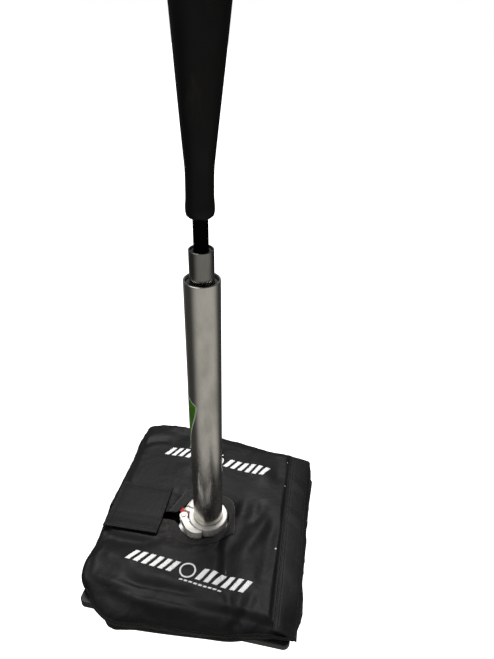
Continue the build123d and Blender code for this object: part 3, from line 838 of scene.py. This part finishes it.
hem_row = len(cover) - 4
rim_rows = [(binding_grid[k] + normals[0] * 0.25, normals[BIND_ROWS - k]) for k in (1, 4)]
hem_rows = [(cover[hem_row] + normals[hem_row] * 0.1, normals[hem_row])]
hem_thread = sew("cover_hem_stitches", hem_rows, "bag")
rim_thread = sew("hole_edge_stitches", rim_rows, "bag")

# %% [markdown]
# ## The bag's bottom cloth
# A second panel lies on the steel plate under the packs. It is cut larger than the plate at the
# front, where it slides off the plate's edge and ends on the ground, so a second hem shows under
# the cover's.

# %% Bottom cloth
BASE_HOLE_R = 48.5                # clears the socket flange
PLATE_UP = PLATE_HIGH[2] / MM
BASE_STATIONS = [                 # where it bends down x, y, height over the plate; hem x, y, z
    (-124, -2, 1.2, -134, -2, 4), (-120, -60, 1.4, -126, -60, 10),
    (-112, -94, 1.2, -119, -98, PLATE_UP + 0.9), (-106, -104, 1.2, -110, -112, PLATE_UP + 0.9),
    (-98, -122, 1.2, -98, -131, 10), (-84, -129, 1, -86, -144.5, 1.6), (-50, -130, 1, -50, -143, 1.8),
    (-12, -130, 1, -13, -140.5, 2.2), (30, -129, 1, 30, -137, 3.5), (60, -129, 1.2, 62, -134.5, 5),
    (80, -124, 1.2, 84, -130.5, 10.4), (104, -116, 1.2, 110, -124, PLATE_UP + 0.9),
    (116, -112, 1.2, 121, -117, PLATE_UP + 1), (117.5, -98, 1.2, 122, -98, 12),
    (118, 11, 1.2, 122, 11, 12), (115, 112, 1.2, 118, 114, 11), (110, 128, 1.2, 112, 134, 10),
    (98, 134, 1.2, 98, 143, 6), (84, 135, 1.2, 84, 146, 5), (-10, 135, 1.2, -12, 156, 2),
    (-106, 137, 1.2, -110, 160, 2), (-121, 136, 1.2, -132, 157, 2), (-125, 122, 1.2, -137, 130, 2),
    (-126, 90, 1.2, -138, 90, 2), (-126, 8, 1.2, -136, 8, 4)]
BASE_COLUMNS, BASE_ROWS, BASE_WALL_ROWS = 300, 16, 10
BASE_OVER = 1.2                   # the cloth's height over the plate at the hole


def lay_base():
    stations = through(BASE_STATIONS + np.array([0, 0, PLATE_UP, 0, 0, 0]), BASE_COLUMNS)
    bend, low = stations[:, :3], stations[:, 3:]
    turn = np.unwrap(np.arctan2(bend[:, 1], bend[:, 0]))
    inner = BASE_HOLE_R * np.stack([np.cos(turn), np.sin(turn), 0 * turn], 1)
    inner[:, 2] = PLATE_UP + BASE_OVER
    rows = [inner + (bend - inner) * t for t in np.linspace(0, 1, BASE_ROWS)]
    heading = bend - inner
    heading /= np.linalg.norm(heading, axis=1)[:, None]
    drop = np.linalg.norm(low - bend, axis=1)[:, None]
    out, down = bend + heading * drop * 0.45, low + np.array([0, 0, 1]) * drop * 0.3
    return np.array(rows + bezier(bend, out, down, low, BASE_WALL_ROWS))


base_grid = turned_hem(lay_base(), 4.0, 1.0)
base_grid[:, :, 2] = np.maximum(base_grid[:, :, 2], 0.9)
bag_base = make_piece("bag_base_cloth", base_grid, grid_faces(len(base_grid), BASE_COLUMNS, flip=True),
                      under_vinyl)
thicken(bag_base, CLOTH_MM)
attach(bag_base, "bag")
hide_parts("bag_bottom")
print("bottom cloth area", round(cloth_area(base_grid), 4), "m2")

# %% [markdown]
# ## Flaps
# The closure flap and the side strip are two layers of cloth turned in at the edges and sewn. Such
# a flap is a thin pillow with a rounded edge, and the stitch rows pull a shallow channel into it.
# Both faces come from one middle surface, so the thickness stays true wherever the flap bends.
# Each is sewn to the bag along one edge.

# %% Flap builder
def fine_ends(length, fine=0.5, zone=8.0, coarse=1.8):
    """Positions from 0 to length, close together near both ends."""
    near = np.arange(0, zone, fine)
    middle = np.linspace(zone, length - zone, max(3, int((length - 2 * zone) / coarse)))
    return np.r_[near, middle, length - near[::-1]]


def half_thickness(u, v, width, length, thick, channels):
    d = np.minimum(np.minimum(u, width - u), np.minimum(v, length - v))
    soft = 1.3
    h = thick / 2 * np.sqrt(np.clip(1 - (1 - np.clip(d / soft, 0, 1)) ** 2, 0, 1))
    for channel in channels:
        h = h - 0.28 * np.exp(-((d - channel) / 0.7) ** 2)
    return np.maximum(h, 0)


def make_flap(name, surface, width, length, thick, channels, material):
    """surface(u, v) gives the middle surface's points; returns the piece and a face sampler."""
    u, v = np.meshgrid(fine_ends(width), fine_ends(length), indexing="ij")

    def face(uu, vv, side):
        middle = surface(uu, vv)
        du = surface(uu + 0.5, vv) - surface(uu - 0.5, vv)
        dv = surface(uu, vv + 0.5) - surface(uu, vv - 0.5)
        n = np.cross(du, dv)
        n /= np.linalg.norm(n, axis=-1)[..., None]
        h = half_thickness(uu, vv, width, length, thick, channels)
        return middle + n * (side * h)[..., None], n
    upper, lower = face(u, v, 1)[0], face(u, v, -1)[0]
    rows, cols = u.shape
    points = np.concatenate([upper.reshape(-1, 3), lower.reshape(-1, 3)])
    quads = grid_faces(rows, cols, flip=True)
    piece = make_piece(name, points, np.concatenate([quads, quads[:, ::-1] + rows * cols]), material)
    weld(piece)
    return piece, face


def weld(piece, distance=0.02):
    """Joins the points of both faces that meet along the edge."""
    work = bmesh.new()
    work.from_mesh(piece.data)
    bmesh.ops.remove_doubles(work, verts=work.verts, dist=distance * MM)
    work.to_mesh(piece.data)
    work.free()


def border_row(face, width, length, inset, sides="nesw"):
    """A stitch row at one inset, as (points, normals) for each named side."""
    lines = {"w": (np.full(80, inset), np.linspace(inset, length - inset, 80)),
             "e": (np.full(80, width - inset), np.linspace(inset, length - inset, 80)),
             "s": (np.linspace(inset, width - inset, 80), np.full(80, inset)),
             "n": (np.linspace(inset, width - inset, 80), np.full(80, length - inset))}
    return [face(*lines[s], 1) for s in sides]


def seam_margin(joint, millimetres):
    """Where a flap's bend starts, on its seam, and where it ends, square to the seam."""
    seam = Vector(joints[joint]["pos_m"])
    outward = Vector(joints[joint]["axis"]).cross(Vector((0, 0, 1)))
    return seam, seam - outward * millimetres * MM


# %% Closure flap
def closure_surface(u, v):
    x, y = u - FLAP_W / 2, v - FLAP_L / 2
    wx = FLAP_MIDDLE[0] + x * math.cos(FLAP_TURN) - y * math.sin(FLAP_TURN)
    wy = FLAP_MIDDLE[1] + x * math.sin(FLAP_TURN) + y * math.cos(FLAP_TURN)
    z = 36.2 + 0.3 * np.sin(x / 21 + 1) * np.cos(y / 17) - 0.5 * np.exp(-((y + 13) / 4) ** 2)
    z = z + 2.4 * smoothstep(-20, -41, y) - 0.9 * smoothstep(24, 40, y) - 0.8 * smoothstep(-20, -37, x)
    return np.stack([wx, wy, z], -1)


closure, closure_face = make_flap("closure_flap_cloth", closure_surface, FLAP_W, FLAP_L, FLAP_MM,
                                  (3.0, 6.2), flap_vinyl)
closure_bend = ("bag", "closure", *seam_margin("closure_hinge", 12.0))
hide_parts("closure_flap")
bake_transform(closure)
rows = border_row(closure_face, FLAP_W, FLAP_L, 3.0) + border_row(closure_face, FLAP_W, FLAP_L, 6.2, "e")
closure_thread = sew("closure_flap_stitches", rows, bend=closure_bend)
print("closure flap", FLAP_W, "x", FLAP_L, "mm")

# %% Side strip
def strip_surface(u, v):
    """u from the inner edge to the outer one, v from the front end to the back."""
    x, y = u - STRIP_W, v - STRIP_L / 2
    pull = np.sin(v / 11.5 + 0.8 * np.sin(v / 29.0) + u * 0.05)
    ripple = 0.8 * np.clip(pull, -0.2, 1) ** 2 * np.sin(math.pi * np.clip(u / STRIP_W, 0, 1)) ** 0.5
    wander = 0.5 * np.sin(v / 40.0 + 0.6) * smoothstep(STRIP_W, STRIP_W - 8, u)
    crown = 0.9 * np.sin(math.pi * np.clip(u / STRIP_W, 0, 1))
    seam = 1.9 * smoothstep(5, 0, STRIP_W - u)
    z = 2.5 + ripple + crown - seam - strip_sag(u, v)
    return (STRIP_EDGE + (x + wander)[..., None] * out_axis + y[..., None] * long_axis
            + z[..., None] * up_axis)


strip, strip_face = make_flap("side_flap_cloth", strip_surface, STRIP_W, STRIP_L, STRIP_MM,
                              (2.6, 5.4), flap_vinyl)
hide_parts("side_flap")
strip_bend = ("bag", "strip", *seam_margin("strip_hinge", 6.0))
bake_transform(strip)
rows = [row for inset, sides in ((2.6, "w"), (5.4, "w"), (2.6, "sn"))
        for row in border_row(strip_face, STRIP_W, STRIP_L, inset, sides)]
strip_thread = sew("side_flap_stitches", rows, bend=strip_bend)
print("side strip", STRIP_W, "x", STRIP_L, "mm")

# %% [markdown]
# ## Printed mark
# The bag carries a white screen print on its front and, upside down, on its back. It is a plain
# badge of its own: a ball with two seams between rows of slanted bars. Ink is a thin skin on the
# cloth, so each shape is a small grid dropped onto the cover from above.

# %% Screen print
def print_ink():
    """White ink with a 3 mm crazing where the cloth has flexed."""
    material, tree, shader, place = new_material("screen_print_ink")
    crazing = add(tree, "TexNoise", {"Vector": place, "Scale": 1 / (3 * MM), "Detail": 9.0})
    cracked = add(tree, "MapRange", {0: crazing, 1: 0.62, 2: 0.74}, **SMOOTH)
    tint = add(tree, "Mix", {0: cracked, 6: srgb("#F4F4F2"), 7: srgb("#A9A8A5")}, data_type="RGBA")
    relief = add(tree, "Bump", {"Height": crazing, "Distance": 0.05 * MM, "Strength": 1.0})
    feed(shader, {"Base Color": tint.outputs[2], "Roughness": 0.62, "Normal": relief})
    return material


ink = print_ink()
cover_tree = BVHTree.FromPolygons([Vector(p) for p in cover.reshape(-1, 3)],
                                  grid_faces(len(cover), COLUMNS, flip=True).tolist())
SLANT = 0.45                      # sideways lean of the bars, per unit of height


def patch(corners, step=1.5):
    """A four-cornered patch as a grid of (u, v) points."""
    c = np.array(corners, float)
    n = max(2, int(np.linalg.norm(c[1] - c[0]) / step) + 1)
    m = max(2, int(np.linalg.norm(c[3] - c[0]) / step) + 1)
    s, t = np.meshgrid(np.linspace(0, 1, n), np.linspace(0, 1, m))
    s, t = s[..., None], t[..., None]
    return c[0] * (1 - s) * (1 - t) + c[1] * s * (1 - t) + c[2] * s * t + c[3] * (1 - s) * t


def ring_patch(centre, inner, outer, a0=0.0, a1=2 * math.pi, count=56):
    a, r = np.meshgrid(np.linspace(a0, a1, count), [inner, (inner + outer) / 2, outer])
    return np.stack([centre[0] + r * np.cos(a), centre[1] + r * np.sin(a)], -1)


def badge(height, ball_r, bars, bar_w, gap):
    """The badge's shapes about its middle, in millimetres, each a grid of points."""
    shapes = [ring_patch((0, 0), ball_r - 2.2, ball_r)]
    for side in (-1, 1):
        seam_r, facing = ball_r * 0.78, math.pi * (0.5 - side * 0.5)
        shapes.append(ring_patch((side * ball_r * 1.15, 0), seam_r, seam_r + 1.7,
                                 facing - 0.72, facing + 0.72, 20))
        for k in range(bars):
            u = side * (ball_r + 5.5 + k * (bar_w + gap) + (bar_w if side < 0 else 0))
            h = height / 2
            shapes.append(patch([(u - SLANT * h, -h), (u + bar_w - SLANT * h, -h),
                                 (u + bar_w + SLANT * h, h), (u + SLANT * h, h)]))
    for k in range(9):
        shapes.append(patch([(-6 + k * 6.2, -h - 6.5), (-1.6 + k * 6.2, -h - 6.5),
                             (-0.8 + k * 6.2, -h - 4.4), (-5.2 + k * 6.2, -h - 4.4)], 1.1))
    return shapes


def print_on_cover(name, middle, degrees):
    c, s = math.cos(math.radians(degrees)), math.sin(math.radians(degrees))
    points, quads, first = [], [], 0
    for shape in badge(height=17.0, ball_r=10.5, bars=6, bar_w=6.6, gap=4.4):
        rows, cols = shape.shape[:2]
        for u, v in shape.reshape(-1, 2):
            x, y = middle[0] + u * c - v * s, middle[1] + u * s + v * c
            hit, up, _, _ = cover_tree.ray_cast(Vector((x, y, 80)), Vector((0, 0, -1)))
            points.append(hit + up * 0.14)
        quads.append(grid_faces(rows, cols) + first)
        first += rows * cols
    piece = make_piece(name, np.array(points), np.concatenate(quads), ink)
    thicken(piece, 0.1)
    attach(piece, "bag")
    print(name, len(points), "points")
    return piece


prints = [print_on_cover("print_front", (-6.0, -76.0), -5.1),
          print_on_cover("print_back", (-16.0, 110.0), 175.4)]

# %% [markdown]
# Three pale dots lie beside the strip: the melted ends of the nylon thread that sews its loop tape
# on from inside. Each is a flattened bead on the cloth, turned from a short profile.

# %% Melted thread ends
def thread_ends():
    """Beads with a domed profile, one at each of KNOTS."""
    material, _, shader, _ = new_material("melted_nylon")
    feed(shader, {"Base Color": srgb("#C9BFB2"), "Roughness": 0.45})
    around = np.linspace(0, 2 * math.pi, 14, endpoint=False)
    points, quads = [], []
    for x, y, radius in KNOTS:
        hit, up, _, _ = cover_tree.ray_cast(Vector((x, y, 80)), Vector((0, 0, -1)))
        side = up.orthogonal().normalized()
        other = up.cross(side)
        first = len(points)
        for angle in np.radians([0, 18, 38, 58, 76]):
            ring = [hit + (side * math.cos(a) + other * math.sin(a)) * radius * math.cos(angle)
                    + up * (radius * 0.5 * math.sin(angle)) for a in around]
            points += [list(p) for p in ring]
        quads += (grid_faces(5, len(around), wrap=True) + first).tolist()
        quads.append([first + 4 * len(around) + k for k in range(len(around))])
    piece = make_piece("thread_ends", points, quads, material)
    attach(piece, "bag")
    return piece


KNOTS = [(95.0, -20.5, 1.4), (91.5, 85.8, 1.0), (88.5, 132.5, 1.0)]   # x, y, radius
knots = thread_ends()

# %% [markdown]
# ## Sand packs
# The weight is two sewn packs of dry sand in plain cotton duck. Filled cloth is round everywhere it
# isn't pressed, so each pack starts as a flat box, is remeshed evenly, and is blown up a little by
# cloth simulation: pressure outwards, no gravity, and a cap on how far a point may travel so that
# the pack stays inside its pocket.

# %% Pack cloth and simulation
def duck_cloth():
    """Plain weave of 0.5 mm threads, drawn 1.2 mm apart so that it shows."""
    material, tree, shader, place = new_material("cotton_duck")
    warp, weft = [add(tree, "TexWave", {"Vector": place, "Scale": 0.5 / (1.2 * MM)},
                      bands_direction=way).outputs["Fac"] for way in "XY"]
    weave = add(tree, "Math", {0: warp, 1: weft}, operation="MULTIPLY")
    stain = add(tree, "TexNoise", {"Vector": place, "Scale": 1 / (30 * MM), "Detail": 5.0})
    shown = add(tree, "MapRange", {0: stain, 1: 0.35, 2: 0.7}, **SMOOTH)
    ground = add(tree, "Mix", {0: shown, 6: srgb("#5B564C"), 7: srgb("#48443C")}, data_type="RGBA")
    tint = add(tree, "Mix", {0: weave, 6: ground.outputs[2], 7: srgb("#6B665B")}, data_type="RGBA")
    relief = add(tree, "Bump", {"Height": weave, "Distance": 0.3 * MM, "Strength": 1.0})
    feed(shader, {"Base Color": tint.outputs[2], "Roughness": 0.9, "Sheen Weight": 0.2, "Normal": relief})
    return material


duck = duck_cloth()
PACK_IN, PACK_FLAT, PACK_VOXEL, PACK_CAP = 5.0, 2.4, 5.0, 2.4     # millimetres
PRESSURE, FRAMES = 4.0, 20


def pack_box(name):
    """The pack's CAD solid drawn in by PACK_IN at the sides and PACK_FLAT above and below."""
    piece = bpy.data.objects.new(name + "_pillow", frame["nodes"][name].data.copy())
    bpy.context.scene.collection.objects.link(piece)
    low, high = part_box(name)
    middle = (low + high) / 2
    half = (high - low) / 2
    keep = [1 - cut * MM / size for cut, size in zip((PACK_IN, PACK_IN, PACK_FLAT), half)]
    for vertex in piece.data.vertices:
        offset = vertex.co - middle
        vertex.co = middle + Vector([offset[k] * keep[k] for k in range(3)])
    piece.data.materials.clear()
    piece.data.materials.append(duck)
    return piece


def apply_modifiers(piece):
    graph = bpy.context.evaluated_depsgraph_get()
    mesh = bpy.data.meshes.new_from_object(piece.evaluated_get(graph))
    piece.modifiers.clear()
    piece.data = mesh
    mesh.polygons.foreach_set("use_smooth", [True] * len(mesh.polygons))


def swell(piece):
    """Blows the pack up with cloth pressure, then keeps each point within PACK_CAP of its start."""
    remesh = piece.modifiers.new("even", "REMESH")
    remesh.mode = "VOXEL"
    remesh.voxel_size = PACK_VOXEL * MM
    apply_modifiers(piece)
    start = np.array([v.co for v in piece.data.vertices])
    cloth = piece.modifiers.new("fill", "CLOTH")
    cloth.settings.use_pressure = True
    cloth.settings.uniform_pressure_force = PRESSURE
    cloth.settings.effector_weights.gravity = 0
    cloth.point_cache.frame_end = FRAMES
    for step in range(1, FRAMES + 1):
        bpy.context.scene.frame_set(step)
    apply_modifiers(piece)
    bpy.context.scene.frame_set(1)
    moved = np.array([v.co for v in piece.data.vertices]) - start
    length = np.linalg.norm(moved, axis=1)[:, None]
    moved *= np.minimum(1, PACK_CAP * MM / np.maximum(length, 1e-9))
    for vertex, place in zip(piece.data.vertices, start + moved):
        vertex.co = place
    smooth = piece.modifiers.new("smooth", "SUBSURF")
    smooth.levels = smooth.render_levels = 1
    return piece


for name in ("sand_pack_front", "sand_pack_back"):
    pillow = swell(pack_box(name))
    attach(pillow, "bag")
    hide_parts(name)
    print(name, "swollen,", len(pillow.data.vertices), "points")

# %% [markdown]
# ## Hook and loop tapes
# Each flap closes with a tape: a strip of woven loops on the bag and a strip of nylon hooks
# under the flap. A tape is a low pad with a soft edge; its pile is finer than the render can show,
# so it is drawn as a coarse nap in the material.

# %% Tapes
def pile(name, base, tip, grain, height):
    """A nap of tufts, painted darker down in the hollows between them as painted shade; grain and height
    are in millimetres.
    """
    material, tree, shader, place = new_material(name)
    tufts = add(tree, "TexVoronoi", {"Vector": place, "Scale": 1 / (grain * MM)})
    depth = tufts.outputs["Distance"]
    # painted shade: the colour runs from the lighter tip on top of a tuft to the darker base deep between
    # tufts
    tint = add(tree, "Mix", {0: depth, 6: srgb(tip), 7: srgb(base)}, data_type="RGBA")
    relief = add(tree, "Bump", {"Height": depth, "Distance": -height * MM, "Strength": 1.0})
    feed(shader, {"Base Color": tint.outputs[2], "Roughness": 0.85, "Sheen Weight": 0.3, "Normal": relief})
    return material


loop_pile = pile("nylon_loop_pile", "#0D0D0D", "#232323", 1.3, 0.5)
hook_pile = pile("nylon_hook_pile", "#0B0B0B", "#1C1C1C", 1.6, 0.8)


def tape_piece(node, body, surface, u_range, v_range, lift, material):
    """A tape on a flap's own middle surface, lifted off it by lift millimetres."""
    width, length = u_range[1] - u_range[0], v_range[1] - v_range[0]

    def on_flap(u, v):
        at_u, at_v = u + u_range[0], v + v_range[0]
        middle = surface(at_u, at_v)
        n = np.cross(surface(at_u + 0.5, at_v) - middle, surface(at_u, at_v + 0.5) - middle)
        return middle + n / np.linalg.norm(n, axis=-1)[..., None] * lift
    piece, _ = make_flap(node + "_pile", on_flap, width, length, 0.6, (), material)
    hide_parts(node)
    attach(piece, body)
    return piece


loops = [tape_piece("closure_loop_tape", "bag", closure_surface, (12, 67), (6, 32), -2.1, loop_pile),
         tape_piece("side_loop_tape", "bag", strip_surface, (5, 24), (12, 262), -2.2, loop_pile)]
closure_hooks = tape_piece("closure_hook_tape", "closure", closure_surface, (12, 67), (6, 32), -1.3,
                           hook_pile)
strip_hooks = tape_piece("side_hook_tape", "strip", strip_surface, (5, 24), (12, 262), -1.4, hook_pile)

# %% [markdown]

# %% [markdown]
# ## Decal on the tube
# A strip of green vinyl film with a white border is wrapped on the left of the outer tube. It is
# cut on a slant at the top, and has no lettering.

# %% Decal
def decal_film():
    """Green film with a pale border, which is painted where the mesh's border value is high."""
    material, tree, shader, place = new_material("printed_vinyl_film")
    border = add(tree, "Attribute", attribute_name="border").outputs["Fac"]
    mottle = add(tree, "TexNoise", {"Vector": place, "Scale": 1 / (12 * MM), "Detail": 4.0})
    shown = add(tree, "MapRange", {0: mottle, 1: 0.3, 2: 0.7}, **SMOOTH)
    green = add(tree, "Mix", {0: shown, 6: srgb("#4F8F12"), 7: srgb("#3E7A10")}, data_type="RGBA")
    rim = add(tree, "MapRange", {0: border, 1: 0.35, 2: 0.65}, **SMOOTH)
    tint = add(tree, "Mix", {0: rim, 6: green.outputs[2], 7: srgb("#E4E6E0")}, data_type="RGBA")
    relief = add(tree, "Bump", {"Height": mottle, "Distance": 0.02 * MM, "Strength": 1.0})
    feed(shader, {"Base Color": tint.outputs[2], "Roughness": 0.35, "Normal": relief})
    return material


TUBE_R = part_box("outer_tube")[1].x / MM
DECAL_RIGHT, DECAL_LEFT = 255.5, 150.0            # degrees round the tube
DECAL_TOP_RIGHT, DECAL_TOP_LEFT, DECAL_LOW = 249.5, 268.0, 178.0
DECAL_SWEEP, DECAL_CURVE = 38.0, 62.0             # degrees its right edge turns, over this height
DECAL_LIFT, DECAL_MM, BORDER_MM = 0.06, 0.05, 2.4


def make_decal():
    rows, cols, radius = 100, 70, TUBE_R + DECAL_LIFT
    verts, border = [], []
    for i in range(rows):
        for j in range(cols):
            s, t = j / (cols - 1), i / (rows - 1)
            top = DECAL_TOP_RIGHT + (DECAL_TOP_LEFT - DECAL_TOP_RIGHT) * s
            z = top + (DECAL_LOW - top) * t
            right = DECAL_RIGHT - DECAL_SWEEP * smoothstep(0, DECAL_CURVE, top - z)
            angle = math.radians(right + (DECAL_LEFT - right) * s)
            verts.append((radius * math.cos(angle), radius * math.sin(angle), z))
            width = math.radians(right - DECAL_LEFT) * TUBE_R
            edge_mm = min(s * width, (1 - s) * width, (top - z), (z - DECAL_LOW))
            border.append(1 - min(edge_mm / BORDER_MM, 1))
    piece = make_piece("tube_decal", np.array(verts), grid_faces(rows, cols), decal_film())
    piece.data.attributes.new("border", "FLOAT", "POINT").data.foreach_set("value", border)
    thicken(piece, DECAL_MM, 1.0)
    return piece


decal = make_decal()
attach(decal, "column")
print("decal on a tube of radius", round(TUBE_R, 2), "mm")

# %% [markdown]
# ## Ball rest
# The rest is a moulded rubber cone, black with a grey bloom where balls and hands have rubbed it.
# Rubber gives, and the real one leans a few millimetres to one side, so it is turned here as one
# closed profile on a gently bent axis, with a rolled rim and a thick mouth at its foot.

# %% Ball rest
REST_LOW, REST_HIGH = (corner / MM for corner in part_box("ball_rest"))
REST_PROFILE = [                  # outside then inside: radius, height above the foot
    (7.9, 0.6), (8.6, 0), (11.6, 0), (12.7, 0.7), (13.2, 2.2), (13.2, 20), (13.2, 40), (13.4, 46),
    (14.3, 56), (16.3, 78), (19.4, 112), (22.8, 150), (26.2, 188), (28.7, 216), (29.5, 227),
    (29.7, 232), (29.5, 234.6), (28.6, 236), (27.5, 235.6), (26.8, 234), (26.6, 228), (25.4, 214),
    (22.2, 180), (18.6, 140), (14.6, 96), (11.0, 62), (9.0, 48), (8.0, 43), (7.7, 40), (7.7, 20), (7.7, 2)]
REST_AROUND = 96
LEAN = 5.292                      # how far the rim stands to the right of the foot


def rest_rubber():
    """A grey bloom in patches of 26 mm, broken up by scratches 1.6 mm apart along the cone."""
    material, tree, shader, place = new_material("moulded_rest_rubber")
    broad, narrow = 1 / (26 * MM), 1 / (1.6 * MM)
    tall = add(tree, "Mapping", {"Vector": place, "Scale": (broad, broad, broad / 1.8)})
    bloom = add(tree, "TexNoise", {"Vector": tall, "Scale": 1.0, "Detail": 9.0})
    long = add(tree, "Mapping", {"Vector": place, "Scale": (narrow, narrow, narrow / 22)})
    scratch = add(tree, "TexNoise", {"Vector": long, "Scale": 1.0, "Detail": 3.0})
    patches = add(tree, "MapRange", {0: bloom, 1: 0.5, 2: 0.78}, **SMOOTH)
    broken = add(tree, "MapRange", {0: scratch, 1: 0.35, 2: 0.75, 3: 0.45, 4: 1.0}, **SMOOTH)
    rubbed = add(tree, "Math", {0: patches, 1: broken}, operation="MULTIPLY")
    tint = add(tree, "Mix", {0: rubbed, 6: srgb("#070707"), 7: srgb("#2A2824")}, data_type="RGBA")
    dull = add(tree, "MapRange", {0: bloom, 1: 0.3, 2: 0.8, 3: 0.46, 4: 0.66}, **SMOOTH)
    skin = add(tree, "TexNoise", {"Vector": place, "Scale": 1 / (0.9 * MM), "Detail": 4.0})
    half = add(tree, "Math", {0: scratch, 1: 0.5}, operation="MULTIPLY")
    height = add(tree, "Math", {0: skin, 1: half}, operation="ADD")
    relief = add(tree, "Bump", {"Height": height, "Distance": 0.12 * MM, "Strength": 1.0})
    feed(shader, {"Base Color": tint.outputs[2], "Specular IOR Level": 0.22, "Roughness": dull,
                  "Normal": relief})
    return material


def make_rest():
    profile = through(REST_PROFILE, 150)
    turn = np.linspace(0, 2 * math.pi, REST_AROUND, endpoint=False)
    verts = []
    for radius, height in profile:
        shift = LEAN * smoothstep(0, 236, height)
        wobble = 1 + 0.006 * np.sin(2 * turn + height / 60)
        verts.append(np.stack([shift + radius * np.cos(turn) * wobble, radius * np.sin(turn) * wobble,
                               REST_LOW[2] + height + 0 * turn], 1))
    piece = make_piece("ball_rest_rubber", np.array(verts),
                       grid_faces(len(profile), REST_AROUND, wrap=True), rest_rubber())
    mesh = piece.data
    work = bmesh.new()
    work.from_mesh(mesh)
    work.verts.ensure_lookup_table()
    last = len(profile) - 1
    for k in range(REST_AROUND):
        n = (k + 1) % REST_AROUND
        work.faces.new([work.verts[last * REST_AROUND + k], work.verts[last * REST_AROUND + n],
                        work.verts[n], work.verts[k]]).smooth = True
    bmesh.ops.recalc_face_normals(work, faces=work.faces)
    work.to_mesh(mesh)
    work.free()
    return piece


rest = make_rest()
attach(rest, "rest")
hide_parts("ball_rest")
